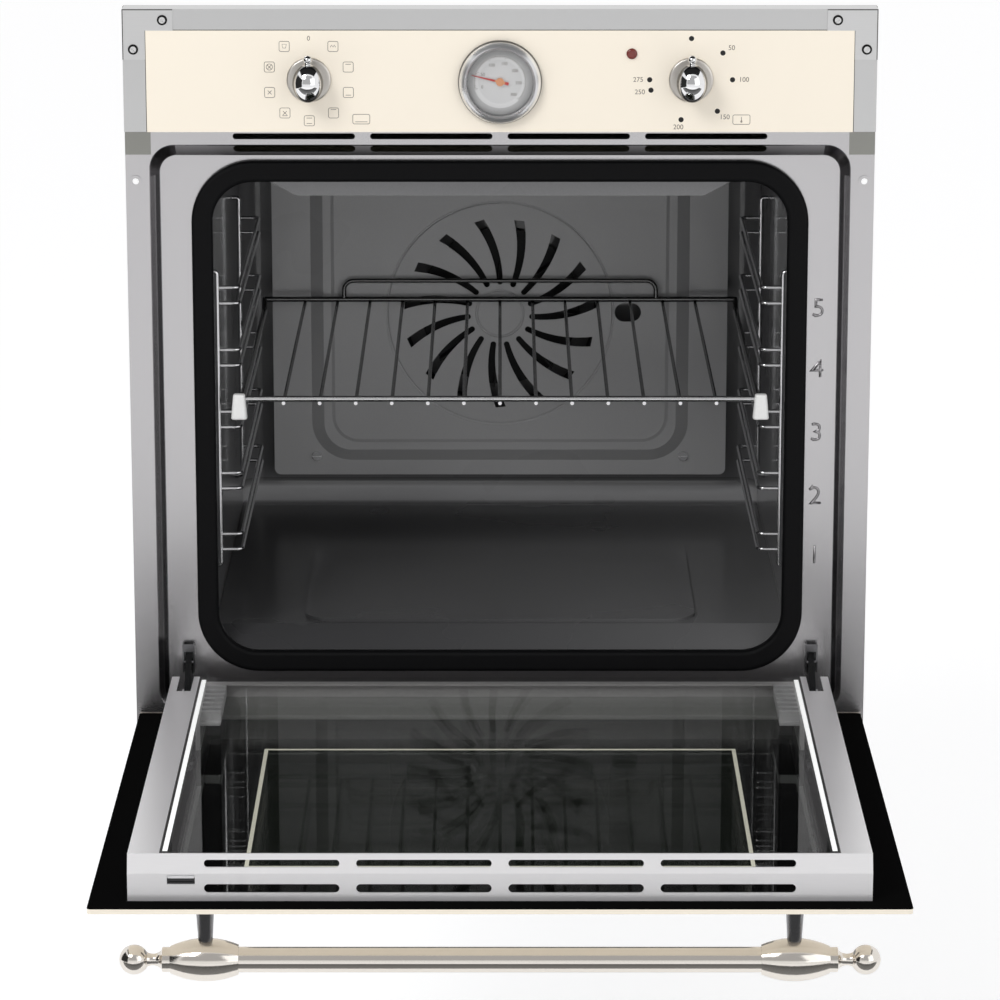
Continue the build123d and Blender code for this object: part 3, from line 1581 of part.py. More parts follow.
door_pieces = {
    "door_outer_glass": outer_glass,
    "door_middle_glass": middle_glass,
    "door_inner_glass": inner_glass,
    "door_left_strip": lambda: mirror(side_profile(), about=Plane.YZ),
    "door_right_strip": side_profile,
    "door_top_profile": top_profile,
    "door_bottom_rail": bottom_profile,
    "door_catch": door_catch,
    "glass_holders": glass_holders,
    "hinge_channels": hinge_channels,
    "hinge_pins": hinge_pins,
    "handle_bar": handle_bar,
    "handle_ends": handle_ends,
    "handle_posts": handle_posts,
}


def save(name, shape):
    """Writes one sub-part, as one compound of its separate solids."""
    pieces = shape if isinstance(shape, list) else [shape]
    solids = [solid for piece in pieces for solid in piece.solids()]
    export_step(Compound(children=solids) if len(solids) > 1 else solids[0], f"parts/{name}.step")


for name, make in oven_pieces.items():
    save(name, make())

for name, make in door_pieces.items():
    made = make()
    made = made if isinstance(made, list) else [made]
    save(name, [open_door(piece) for piece in made])
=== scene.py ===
from math import cos, pi, radians, sin

import bpy
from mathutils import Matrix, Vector


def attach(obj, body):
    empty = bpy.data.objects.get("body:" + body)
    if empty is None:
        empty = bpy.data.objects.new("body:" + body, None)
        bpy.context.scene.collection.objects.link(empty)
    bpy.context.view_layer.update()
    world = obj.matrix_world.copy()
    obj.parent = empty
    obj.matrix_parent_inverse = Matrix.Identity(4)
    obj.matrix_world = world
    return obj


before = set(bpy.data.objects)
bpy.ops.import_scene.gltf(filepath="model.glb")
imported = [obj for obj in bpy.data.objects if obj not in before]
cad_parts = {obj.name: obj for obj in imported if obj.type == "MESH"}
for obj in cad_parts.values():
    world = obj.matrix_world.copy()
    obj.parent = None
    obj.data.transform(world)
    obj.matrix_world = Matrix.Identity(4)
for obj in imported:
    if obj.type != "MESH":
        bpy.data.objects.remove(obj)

bpy.ops.object.select_all(action="DESELECT")
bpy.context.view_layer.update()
print("frame loaded:", len(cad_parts), "nodes")

mm = 0.001


def grey(level):
    return (level, level, level, 1)


# camera, floor, world and lamps

camera = {
    "place": (0, -3.462, 1.063),  # metres
    "pitch": 14.10,  # degrees below the horizon
    "lens": 158.8,
    "sensor": 36,
}

studio = {
    "floorSize": 30,
    "floorHeight": -0.45,  # the open door's handle hangs below the oven's base
    "floorColour": grey(0.80),
    "floorGlow": 0.30,
    "floorGlowSeen": 0.45,
    "skyAbove": (0.95, 0.95, 0.96, 1),
    "skyLevel": (0.80, 0.80, 0.81, 1),
    "skyBelow": grey(0.55),
    "skyStrength": 0.70,
    "lampsAimAt": (0, 0.1, 0.3),
    "keyPlace": (-1.6, -2.4, 2.6),
    "keySize": 1.3,
    "keyPower": 42,
    "fillPlace": (1.9, -2.6, 1.2),
    "fillSize": 2.0,
    "fillPower": 12,
}

# dark and grey cards that only reflections see: middle, size, turn, then the grey at each end
cards = {
    "overhead": ((0, -0.2, 2.60), (5.0, 2.8), (0, 0, 0), 0.02, 0.02),
    "front": ((0, -3.2, 2.10), (5.0, 3.2), (90, 0, 0), 0.50, 0.50),
    "left": ((-2.6, -1.2, 0.75), (3.2, 2.2), (90, 0, 90), 0.03, 0.03),
    "floor": ((0, -1.25, -0.43), (5.0, 1.3), (0, 0, 0), 0.25, 0.04),
}


class Wire:
    def __init__(self, shader, socket):
        self.shader = shader
        self.socket = socket

    def maths(self, operation, first, second):
        return self.shader.add("ShaderNodeMath", {"operation": operation}, {0: first, 1: second})

    def __add__(self, other):
        return self.maths("ADD", self, other)

    def __radd__(self, other):
        return self.maths("ADD", other, self)

    def __sub__(self, other):
        return self.maths("SUBTRACT", self, other)

    def __rsub__(self, other):
        return self.maths("SUBTRACT", other, self)

    def __mul__(self, other):
        return self.maths("MULTIPLY", self, other)

    def __rmul__(self, other):
        return self.maths("MULTIPLY", other, self)

    def __lt__(self, other):
        return self.maths("LESS_THAN", self, other)

    def __gt__(self, other):
        return self.maths("GREATER_THAN", self, other)

    def __abs__(self):
        return self.maths("ABSOLUTE", self, 0)


class Shader:
    def __init__(self, tree):
        self.tree = tree
        self.tree.nodes.clear()

    def add(self, kind, settings, sockets, output=0):
        node = self.tree.nodes.new(kind)
        for key, value in settings.items():
            if key == "stops":
                ramp = node.color_ramp
                for place, colour in value[2:]:
                    ramp.elements.new(place)
                for element, (place, colour) in zip(ramp.elements, sorted(value)):
                    element.position = place
                    element.color = colour
            else:
                setattr(node, key, value)
        for key, value in sockets.items():
            if isinstance(value, Wire):
                self.tree.links.new(value.socket, node.inputs[key])
            else:
                node.inputs[key].default_value = value
        return Wire(self, node.outputs[output])

    def place(self, scale=(1, 1, 1)):
        point = self.add("ShaderNodeTexCoord", {}, {}, "Object")
        return self.add("ShaderNodeMapping", {}, {"Vector": point, "Scale": scale})

    def axis(self, letter):
        point = self.add("ShaderNodeTexCoord", {}, {}, "Object")
        return self.add("ShaderNodeSeparateXYZ", {}, {"Vector": point}, letter)

    def distance(self, across, up):
        return self.add("ShaderNodeMath", {"operation": "SQRT"}, {0: across * across + up * up})

    def least(self, first, second):
        return self.add("ShaderNodeMath", {"operation": "MINIMUM"}, {0: first, 1: second})

    def most(self, first, second):
        return self.add("ShaderNodeMath", {"operation": "MAXIMUM"}, {0: first, 1: second})

    def noise(self, scale, stretch=(1, 1, 1), detail=3, roughness=0.5):
        return self.add("ShaderNodeTexNoise", {}, {
            "Vector": self.place(stretch), "Scale": scale, "Detail": detail, "Roughness": roughness,
        })

    def between(self, mask, low, high):
        return low + mask * (high - low)

    def blend(self, mask, first, second):
        return self.add("ShaderNodeMix", {"data_type": "RGBA"}, {"Factor": mask, 6: first, 7: second}, 2)

    def share(self, value, start, end):
        return (value - start) * (1 / (end - start))

    def ramp(self, stops, place):
        return self.add("ShaderNodeValToRGB", {"stops": stops}, {"Fac": place})

    def bump(self, height, strength, distance):
        return self.add("ShaderNodeBump", {}, {"Height": height, "Strength": strength, "Distance": distance})

    def surface(self, **sockets):
        names = {key.replace("_", " "): value for key, value in sockets.items()}
        return self.add("ShaderNodeBsdfPrincipled", {}, names)

    def out(self, surface):
        kind = "ShaderNodeOutputMaterial"
        if isinstance(self.tree.id_data, bpy.types.World):
            kind = "ShaderNodeOutputWorld"
        self.tree.links.new(surface.socket, self.tree.nodes.new(kind).inputs["Surface"])


def newShader(name):
    material = bpy.data.materials.new(name)
    material.use_nodes = True
    return material, Shader(material.node_tree)


def seenAsBackground(shader):
    direct, glossy, through = (shader.add("ShaderNodeLightPath", {}, {}, "Is %s Ray" % kind)
                               for kind in ("Camera", "Glossy", "Transmission"))
    return direct + glossy + through


def hangCard(name, middle, size, turn, near, far):
    bpy.ops.mesh.primitive_plane_add(size=1, location=middle, rotation=[radians(angle) for angle in turn])
    card = bpy.context.object
    card.name = "studio_card_" + name
    card.scale = (size[0], size[1], 1)
    material, shader = newShader("card_" + name)
    slope = shader.axis("Y") + 0.5
    shade = shader.blend(slope, grey(far), grey(near))
    shader.out(shader.add("ShaderNodeEmission", {}, {"Color": shade, "Strength": 1}))
    card.data.materials.append(material)
    card.visible_camera = False
    card.visible_diffuse = False
    card.visible_transmission = False
    card.visible_shadow = False


def buildStudio():
    world = bpy.data.worlds.new("studio")
    bpy.context.scene.world = world
    world.use_nodes = True
    sky = Shader(world.node_tree)
    direction = sky.add("ShaderNodeTexCoord", {}, {}, "Generated")
    height = sky.add("ShaderNodeSeparateXYZ", {}, {"Vector": direction}, "Z")
    stops = [(0.0, studio["skyBelow"]), (1.0, studio["skyAbove"]), (0.5, studio["skyLevel"])]
    shade = sky.ramp(stops, height * 0.5 + 0.5)
    lit = sky.add("ShaderNodeBackground", {}, {"Color": shade, "Strength": studio["skyStrength"]})
    white = sky.add("ShaderNodeBackground", {}, {"Color": grey(1), "Strength": 1})
    sky.out(sky.add("ShaderNodeMixShader", {}, {0: seenAsBackground(sky), 1: lit, 2: white}))

    bpy.ops.mesh.primitive_plane_add(size=studio["floorSize"], location=(0, 0, studio["floorHeight"]))
    floor = bpy.context.object
    floor.name = "studio_floor"
    paper, shader = newShader("floor_paper")
    fibre = shader.noise(400)
    glow = shader.blend(seenAsBackground(shader), grey(studio["floorGlow"]), grey(studio["floorGlowSeen"]))
    shader.out(shader.surface(
        Base_Color=studio["floorColour"], Roughness=shader.between(fibre, 0.85, 0.95),
        Emission_Color=glow, Emission_Strength=1,
    ))
    floor.data.materials.append(paper)
    for name, (middle, size, turn, near, far) in cards.items():
        hangCard(name, middle, size, turn, near, far)

    for name in ("key", "fill"):
        bpy.ops.object.light_add(type="AREA", location=studio[name + "Place"])
        lamp = bpy.context.object
        lamp.name = name + "_lamp"
        lamp.data.size = studio[name + "Size"]
        lamp.data.energy = studio[name + "Power"]
        aim = Vector(studio["lampsAimAt"]) - lamp.location
        lamp.rotation_euler = aim.to_track_quat("-Z", "Y").to_euler()

    bpy.ops.object.camera_add(location=camera["place"], rotation=(radians(90 - camera["pitch"]), 0, 0))
    view = bpy.context.object
    view.data.lens = camera["lens"]
    view.data.sensor_width = camera["sensor"]
    bpy.context.scene.camera = view
    bpy.context.scene.view_settings.view_transform = "Standard"
    bpy.ops.object.select_all(action="DESELECT")


buildStudio()
print("studio ready")


# finishes

def galvanisedSteel():
    material, shader = newShader("galvanised_steel")
    spangle = shader.add("ShaderNodeTexVoronoi", {}, {"Vector": shader.place(), "Scale": 45}, "Color")
    facet = shader.add("ShaderNodeSeparateColor", {}, {"Color": spangle}, "Red")
    dust = shader.noise(9)
    mask = facet * 0.6 + dust * 0.4
    shader.out(shader.surface(
        Base_Color=shader.blend(mask, (0.36, 0.37, 0.38, 1), (0.55, 0.56, 0.57, 1)), Metallic=1,
        Roughness=shader.between(mask, 0.34, 0.52), Normal=shader.bump(dust, 0.1, 0.001),
    ))
    return material


def steelSheet(name, dark, light, rough, grain, stretch=(1, 1, 1)):
    material, shader = newShader(name)
    streak = shader.noise(grain, stretch, 2)
    smudge = shader.noise(6, (1, 1, 1), 2)
    shader.out(shader.surface(
        Base_Color=shader.blend(smudge, dark, light), Metallic=1,
        Roughness=shader.between(streak * 0.5 + smudge * 0.5, rough[0], rough[1]),
        Normal=shader.bump(streak, 0.04, 0.0005),
    ))
    return material


recess = {
    "flangeSide": 1.5 * mm,  # depths between which the drawn wall from flange to door seat gets painted reflection and shade bands
    "faceSide": 16.8 * mm,
    "sidePaintedReflections": [(0.0, (0.34, 0.33, 0.34, 1)), (1.0, (0.05, 0.05, 0.055, 1)),
                  (0.42, (0.30, 0.29, 0.30, 1)), (0.50, (0.55, 0.54, 0.55, 1)),
                  (0.60, (0.05, 0.045, 0.05, 1))],
    "topPaintedShade": [(0.0, (0.26, 0.25, 0.26, 1)), (1.0, (0.07, 0.068, 0.07, 1)),
                 (0.45, (0.17, 0.165, 0.17, 1))],
    "sideShadow": grey(0.01),
    "cornerPaintedShade": (0.05, 0.045, 0.05, 1),
    "flangeShade": (0.27, 0.27, 0.25, 1),
    "leftShade": 0.5,
    "topFrom": 471.5 * mm,
    "cornerFrom": (258 * mm, 458 * mm),
    "shadeHalfWidth": 277 * mm,  # painted shadow of the panel: the flange is darker close under it
    "shadeBottom": 476 * mm,
}


def frameSteel():
    material, shader = newShader("frame_steel_drawn")
    streak = shader.noise(60, (50, 50, 1), 2)
    smudge = shader.noise(6, (1, 1, 1), 2)
    x, depth, z = (shader.axis(letter) for letter in "XYZ")
    start, end = recess["flangeSide"], recess["faceSide"]
    wall = (depth > start) * (depth < end)
    inward = shader.share(depth, start, end)
    # painted reflection bands on the side walls and painted shade on the top wall, both set by depth
    side, top = (shader.ramp(recess[key], inward) for key in ("sidePaintedReflections", "topPaintedShade"))
    side = shader.blend((x < 0) * recess["leftShade"], side, recess["sideShadow"])
    upper = z > recess["topFrom"]
    # painted shade in the recess's upper corners
    corner = (abs(x) > recess["cornerFrom"][0]) * (z > recess["cornerFrom"][1])
    walls = shader.blend(corner, shader.blend(upper, side, top), recess["cornerPaintedShade"])
    # painted shadow of the panel on the flange
    shade = (abs(x) > recess["shadeHalfWidth"]) * (z > recess["shadeBottom"])
    sheet = shader.blend(smudge, (0.50, 0.49, 0.50, 1), (0.55, 0.54, 0.55, 1))
    sheet = shader.blend(shade, sheet, recess["flangeShade"])
    shader.out(shader.surface(
        Base_Color=shader.blend(wall, sheet, walls), Metallic=1 - wall * upper * (1 - corner),
        Roughness=shader.between(streak * 0.5 + smudge * 0.5, 0.20, 0.28),
        Normal=shader.bump(streak, 0.04, 0.0005),
    ))
    return material


bracket = {
    "outerX": 296 * mm,
    "top": 595 * mm,
    "edge": 0.8 * mm,
}


def bracketSteel():
    material, shader = newShader("bracket_steel")
    streak = shader.noise(60, (1, 60, 60), 2)
    x, z = abs(shader.axis("X")), shader.axis("Z")
    edge = shader.most(x > bracket["outerX"] - bracket["edge"], z > bracket["top"] - bracket["edge"])
    sheet = shader.blend(streak, grey(0.62), grey(0.67))
    shader.out(shader.surface(
        Base_Color=shader.blend(edge, sheet, grey(0.10)), Metallic=1,
        Roughness=shader.between(streak, 0.26, 0.36), Normal=shader.bump(streak, 0.04, 0.0005),
    ))
    return material


screw = {
    "places": [(287.5 * mm, 563.4 * mm), (264.4 * mm, 586.5 * mm)],  # the same on both sides
    "faceRadius": 2.5 * mm,
}


def screwSteel():
    material, shader = newShader("screw_steel")
    x, z = abs(shader.axis("X")), shader.axis("Z")
    first, second = (shader.distance(x - place[0], z - place[1]) for place in screw["places"])
    # painted shadow: near-black ring round each screw face, for the countersink's shade
    paintedShadowRing = shader.least(first, second) > screw["faceRadius"]
    scratch = shader.noise(500)
    face = shader.blend(scratch, grey(0.62), grey(0.72))
    shader.out(shader.surface(
        Base_Color=shader.blend(paintedShadowRing, face, grey(0.02)), Metallic=1,
        Roughness=shader.between(scratch, 0.22, 0.34),
    ))
    return material


knobBall = {
    "centre": (150 * mm, 539.5 * mm),
    "squeeze": 12.2 / 15.0,  # the ball is taller than wide
    "paintedReflectionFrom": 10.2 * mm,
    "paintedReflectionTo": 12.0 * mm,
    # painted reflection: the chrome ball darkens from the first radius out to the second
    "tones": [(0.0, (0.80, 0.80, 0.81, 1)), (1.0, grey(0.05)), (0.35, grey(0.22))],
    "finialFrom": 553.5 * mm,
    "finialTone": grey(0.70),
}


def knobChrome():
    material, shader = newShader("knob_chrome")
    swirl = shader.noise(40)
    x, z = abs(shader.axis("X")), shader.axis("Z")
    reach = shader.distance(x - knobBall["centre"][0], (z - knobBall["centre"][1]) * knobBall["squeeze"])
    # painted dark reflection on the ball's rim
    paintedReflection = shader.ramp(knobBall["tones"], shader.share(reach, knobBall["paintedReflectionFrom"], knobBall["paintedReflectionTo"]))
    finial = z > knobBall["finialFrom"]
    shader.out(shader.surface(
        Base_Color=shader.blend(finial, paintedReflection, knobBall["finialTone"]), Metallic=1,
        Roughness=shader.between(swirl, 0.03, 0.07),
    ))
    return material


bezel = {
    "centre": (0, 537.7 * mm),
    "outer": 33 * mm,
    # painted reflections and shade on the chrome bezel: dark outer line, bright rim, satin band, dark inner
    # ring
    "tones": [(0.0, grey(0.30)), (1.0, grey(0.04)), (0.76, grey(0.16)),
              (0.785, grey(0.22)), (0.81, (0.66, 0.66, 0.67, 1)), (0.90, (0.74, 0.74, 0.75, 1)),
              (0.93, grey(0.90)), (0.965, grey(0.85)), (0.98, grey(0.06))],
}


def bezelChrome():
    material, shader = newShader("bezel_chrome")
    swirl = shader.noise(40)
    reach = shader.distance(shader.axis("X") - bezel["centre"][0], shader.axis("Z") - bezel["centre"][1])
    # painted reflection rings
    rings = shader.ramp(bezel["tones"], reach * (1 / bezel["outer"]))
    shader.out(shader.surface(
        Base_Color=rings, Metallic=0.8, Roughness=shader.between(swirl, 0.24, 0.32),
    ))
    return material


catchSplit = 31.4 * mm  # above it the steel tongue, below it the dark housing


def catchFinish():
    material, shader = newShader("catch_tongue")
    wear = shader.noise(300)
    tongue = shader.axis("Z") > catchSplit
    shader.out(shader.surface(
        Base_Color=shader.blend(tongue, (0.02, 0.02, 0.022, 1), (0.88, 0.88, 0.89, 1)),
        Metallic=tongue * 0.6, Roughness=shader.between(wear, 0.25, 0.40),
    ))
    return material


strip = {
    "inner": 243.3 * mm,
    "shadowLine": 1.0 * mm,
    "seat": 46 * mm,
}


def stripSteel():
    material, shader = newShader("strip_steel")
    streak = shader.noise(60, (60, 1, 60), 2)
    smudge = shader.noise(6, (1, 1, 1), 2)
    x, z = abs(shader.axis("X")), shader.axis("Z")
    line = (x < strip["inner"] + strip["shadowLine"]) * (z > strip["seat"])
    sheet = shader.blend(smudge, (0.90, 0.89, 0.90, 1), (0.96, 0.95, 0.96, 1))
    shader.out(shader.surface(
        Base_Color=shader.blend(line, sheet, grey(0.03)), Metallic=0.85,
        Roughness=shader.between(streak * 0.5 + smudge * 0.5, 0.30, 0.38),
        Normal=shader.bump(streak, 0.04, 0.0005),
    ))
    return material


def creamEnamel():
    material, shader = newShader("fascia_cream")
    wave = shader.noise(150, (1, 1, 1), 2)
    cloud = shader.noise(4)
    shader.out(shader.surface(
        Base_Color=shader.blend(cloud, (0.93, 0.85, 0.715, 1), (0.95, 0.87, 0.745, 1)),
        Roughness=shader.between(wave, 0.20, 0.28), Coat_Weight=0.4, Coat_Roughness=0.12,
        Normal=shader.bump(wave, 0.03, 0.0005),
    ))
    return material


enamelFloor = {
    "top": 80 * mm,
    "front": 22 * mm,
    "back": 448 * mm,
    # painted shade: the floor's tone darkens from front to back
    "tones": [(0.0, (0.05, 0.05, 0.052, 1)), (1.0, (0.02, 0.02, 0.021, 1)), (0.40, (0.04, 0.04, 0.041, 1)),
              (0.75, (0.025, 0.025, 0.026, 1))],
    "rightPaintedLight": (0.14, 0.14, 0.142, 1),  # painted light: it brightens from left to right
    "halfWidth": 240 * mm,
    "coatShare": 0.15,  # it shines less than the walls
}

# painted highlight where the curve between back wall and floor catches the light
enamelBand = {
    "low": 76 * mm,
    "high": 97 * mm,
    "tones": [(0.0, (0.12, 0.12, 0.122, 1)), (1.0, (0.14, 0.14, 0.142, 1)), (0.10, (0.65, 0.65, 0.66, 1)),
              (0.60, (0.62, 0.62, 0.63, 1)), (0.75, (0.30, 0.30, 0.305, 1))],
}


def cavityEnamel(name, dark, light, coat):
    material, shader = newShader(name)
    speck = shader.noise(900, (1, 1, 1), 1)
    cloud = shader.noise(5)
    mask = speck * 0.5 + cloud * 0.5
    x, y, z = (shader.axis(letter) for letter in "XYZ")
    front, back = enamelFloor["front"], enamelFloor["back"]
    # painted shade and light on the cavity floor
    floor = shader.ramp(enamelFloor["tones"], shader.share(y, front, back))
    across = shader.share(x, -enamelFloor["halfWidth"], enamelFloor["halfWidth"])
    floor = shader.blend(across * across, floor, enamelFloor["rightPaintedLight"])
    bottom, top = enamelBand["low"], enamelBand["high"]
    band = shader.ramp(enamelBand["tones"], shader.share(z, bottom, top))
    low = (z < enamelFloor["top"]) * (y < back)
    curve = (y > back) * (z < top)
    walls = shader.blend(curve, shader.blend(mask, dark, light), band)
    shader.out(shader.surface(
        Base_Color=shader.blend(low, walls, floor), Specular_IOR_Level=0.25,
        Roughness=shader.between(cloud, 0.24, 0.32), Normal=shader.bump(speck, 0.05, 0.0003),
        Coat_Weight=coat * (1 - low * (1 - enamelFloor["coatShare"])), Coat_Roughness=0.08,
    ))
    return material


shelfWire = {
    "frontBar": 26 * mm,  # painted shade: behind it the wires get a dark base colour for the dark cavity they mirror
    "frontBarBottom": 208.4 * mm,
}


def platedShelf():
    material, shader = newShader("plated_shelf")
    swirl = shader.noise(90)
    lit = (shader.axis("Y") < shelfWire["frontBar"]) * (shader.axis("Z") > shelfWire["frontBarBottom"])
    plate = shader.blend(swirl, (0.60, 0.60, 0.61, 1), (0.70, 0.70, 0.71, 1))
    shader.out(shader.surface(
        Base_Color=shader.blend(lit, grey(0.16), plate), Metallic=1,
        Roughness=shader.between(swirl, 0.14, 0.24),
    ))
    return material


def rubber():
    material, shader = newShader("gasket_rubber")
    pore = shader.noise(1400, (1, 1, 1), 2)
    shader.out(shader.surface(
        Base_Color=shader.blend(pore, (0.0015, 0.0015, 0.002, 1), (0.004, 0.004, 0.0045, 1)),
        Roughness=shader.between(pore, 0.5, 0.62), Specular_IOR_Level=0.12,
        Normal=shader.bump(pore, 0.15, 0.0003),
    ))
    return material


def mouldedPlastic(name, dark, light, rough):
    material, shader = newShader(name)
    grain = shader.noise(700, (1, 1, 1), 2)
    shader.out(shader.surface(
        Base_Color=shader.blend(grain, dark, light), Roughness=shader.between(grain, rough, rough + 0.1),
        Normal=shader.bump(grain, 0.08, 0.0003),
    ))
    return material


def paneGlass(name, tint, index, shine):
    material, shader = newShader(name)
    behind = shader.add("ShaderNodeNewGeometry", {}, {}, "Backfacing")
    fresnel = shader.add("ShaderNodeFresnel", {}, {"IOR": shader.between(behind, index, 1 / index)})
    clear = shader.add("ShaderNodeBsdfTransparent", {}, {"Color": tint})
    film = shader.noise(3)
    mirror = shader.surface(Base_Color=grey(0.95), Metallic=1, Roughness=shader.between(film, 0.005, 0.02))
    shader.out(shader.add("ShaderNodeMixShader", {}, {0: fresnel * shine, 1: clear, 2: mirror}))
    return material


doorPrint = {
    "windowHalfWidth": 187.5 * mm,
    "windowStart": -101 * mm,  # the window's lower edge when the door is shut, along the open door
    "windowEnd": -392 * mm,
    "backFace": 14.1 * mm,
    "faceDepth": 0.4 * mm,
    "marginHalfWidth": 265 * mm,  # outside the door's body the black print is dull
    "marginEnd": -466 * mm,
}


def printedGlass():
    material, shader = newShader("door_print")
    x, y, z = (shader.axis(letter) for letter in "XYZ")
    middle = (doorPrint["windowStart"] + doorPrint["windowEnd"]) / 2
    half = (doorPrint["windowStart"] - doorPrint["windowEnd"]) / 2
    window = (abs(x) < doorPrint["windowHalfWidth"]) * (abs(y - middle) < half)
    back = z > doorPrint["backFace"] - doorPrint["faceDepth"]
    wave = shader.noise(120)
    cream = shader.blend(wave, (0.93, 0.86, 0.73, 1), (0.95, 0.88, 0.76, 1))
    dark = shader.blend(window, grey(0.004), (0.010, 0.013, 0.009, 1))
    margin = back * shader.most(abs(x) > doorPrint["marginHalfWidth"], y < doorPrint["marginEnd"])
    shader.out(shader.surface(
        Base_Color=shader.blend(back, shader.blend(window, cream, dark), dark),
        Roughness=shader.between(wave, 0.05, 0.09), Specular_IOR_Level=0,
        Coat_Weight=1 - margin, Coat_Roughness=0.02, Coat_IOR=1.9,
    ))
    return material


def heatedSteel(name, cool, hot, rough):
    material, shader = newShader(name)
    stain = shader.noise(35)
    shader.out(shader.surface(
        Base_Color=shader.blend(stain, cool, hot), Metallic=1,
        Roughness=shader.between(stain, rough, rough + 0.15), Normal=shader.bump(stain, 0.1, 0.0005),
    ))
    return material


def mineralWool():
    material, shader = newShader("mineral_wool")
    fibre = shader.noise(220, (1, 1, 4), 6, 0.7)
    shader.out(shader.surface(
        Base_Color=shader.blend(fibre, (0.10, 0.09, 0.06, 1), (0.24, 0.22, 0.16, 1)),
        Roughness=shader.between(fibre, 0.85, 1.0), Normal=shader.bump(fibre, 0.8, 0.002),
    ))
    return material


def lensGlass():
    material, shader = newShader("red_lens")
    ripple = shader.noise(300)
    shader.out(shader.surface(
        Base_Color=shader.blend(ripple, (0.13, 0.012, 0.008, 1), (0.19, 0.02, 0.012, 1)),
        Roughness=shader.between(ripple, 0.08, 0.14), Coat_Weight=0.5, Coat_Roughness=0.03,
    ))
    return material


dial = {
    "centre": (0, 537.7 * mm),
    "edge": 27 * mm,
    # the light scale ring is the dial's own print; from 0.78 out it grows darker towards the edge, painted
    # shade under the bezel
    "tones": [(0.0, grey(0.66)), (1.0, grey(0.20)), (0.62, grey(0.66)),
              (0.66, grey(0.74)), (0.76, grey(0.72)), (0.78, grey(0.50)),
              (0.93, grey(0.40))],
    "shadeFrom": 0.78,  # from here out, the dial's upper left is in the bezel's shade
    "shadeSide": 0.16,
    "shadeTone": grey(0.02),
}


def dialPaint():
    material, shader = newShader("dial_grey")
    grain = shader.noise(500)
    across, up = shader.axis("X") - dial["centre"][0], shader.axis("Z") - dial["centre"][1]
    reach = shader.distance(across, up) * (1 / dial["edge"])
    rings = shader.ramp(dial["tones"], reach)
    lean = (up - across) * (dial["shadeSide"] / dial["edge"]) * (reach > dial["shadeFrom"])
    shader.out(shader.surface(
        Base_Color=shader.blend(lean, rings, dial["shadeTone"]), Metallic=0.3,
        Roughness=shader.between(grain, 0.32, 0.42),
    ))
    return material


needle = {
    "hub": (0, 537.7 * mm),
    "hubRadius": 4.2 * mm,
}


def needlePaint():
    material, shader = newShader("needle_paint")
    reach = shader.distance(shader.axis("X") - needle["hub"][0], shader.axis("Z") - needle["hub"][1])
    hub = reach < needle["hubRadius"]
    grain = shader.noise(600)
    shader.out(shader.surface(
        Base_Color=shader.blend(hub, (0.52, 0.045, 0.04, 1), (0.72, 0.34, 0.18, 1)),
        Metallic=hub * 0.7, Roughness=shader.between(grain, 0.3, 0.4),
    ))
    return material


def inkPaint(name, colour, glow=0):
    material, shader = newShader(name)
    spread = shader.noise(2500)
    darker = tuple(part * 0.8 for part in colour[:3]) + (1,)
    paint = shader.blend(spread, darker, colour)
    shader.out(shader.surface(
        Base_Color=paint, Roughness=shader.between(spread, 0.45, 0.6),
        Emission_Color=paint, Emission_Strength=glow,
    ))
    return material


def doorProfile():
    material, shader = newShader("profile_steel")
    streak = shader.noise(60, (1, 60, 60), 2)
    shader.out(shader.surface(
        Base_Color=shader.blend(streak, (0.88, 0.87, 0.88, 1), (0.93, 0.92, 0.93, 1)), Metallic=0.65,
        Roughness=shader.between(streak, 0.28, 0.36), Normal=shader.bump(streak, 0.04, 0.0005),
    ))
    return material


def castAlloy(name, dark, light):
    material, shader = newShader(name)
    grain = shader.noise(300, (1, 1, 1), 2)
    shader.out(shader.surface(
        Base_Color=shader.blend(grain, dark, light), Metallic=0.4,
        Roughness=shader.between(grain, 0.38, 0.50), Normal=shader.bump(grain, 0.06, 0.0003),
    ))
    return material


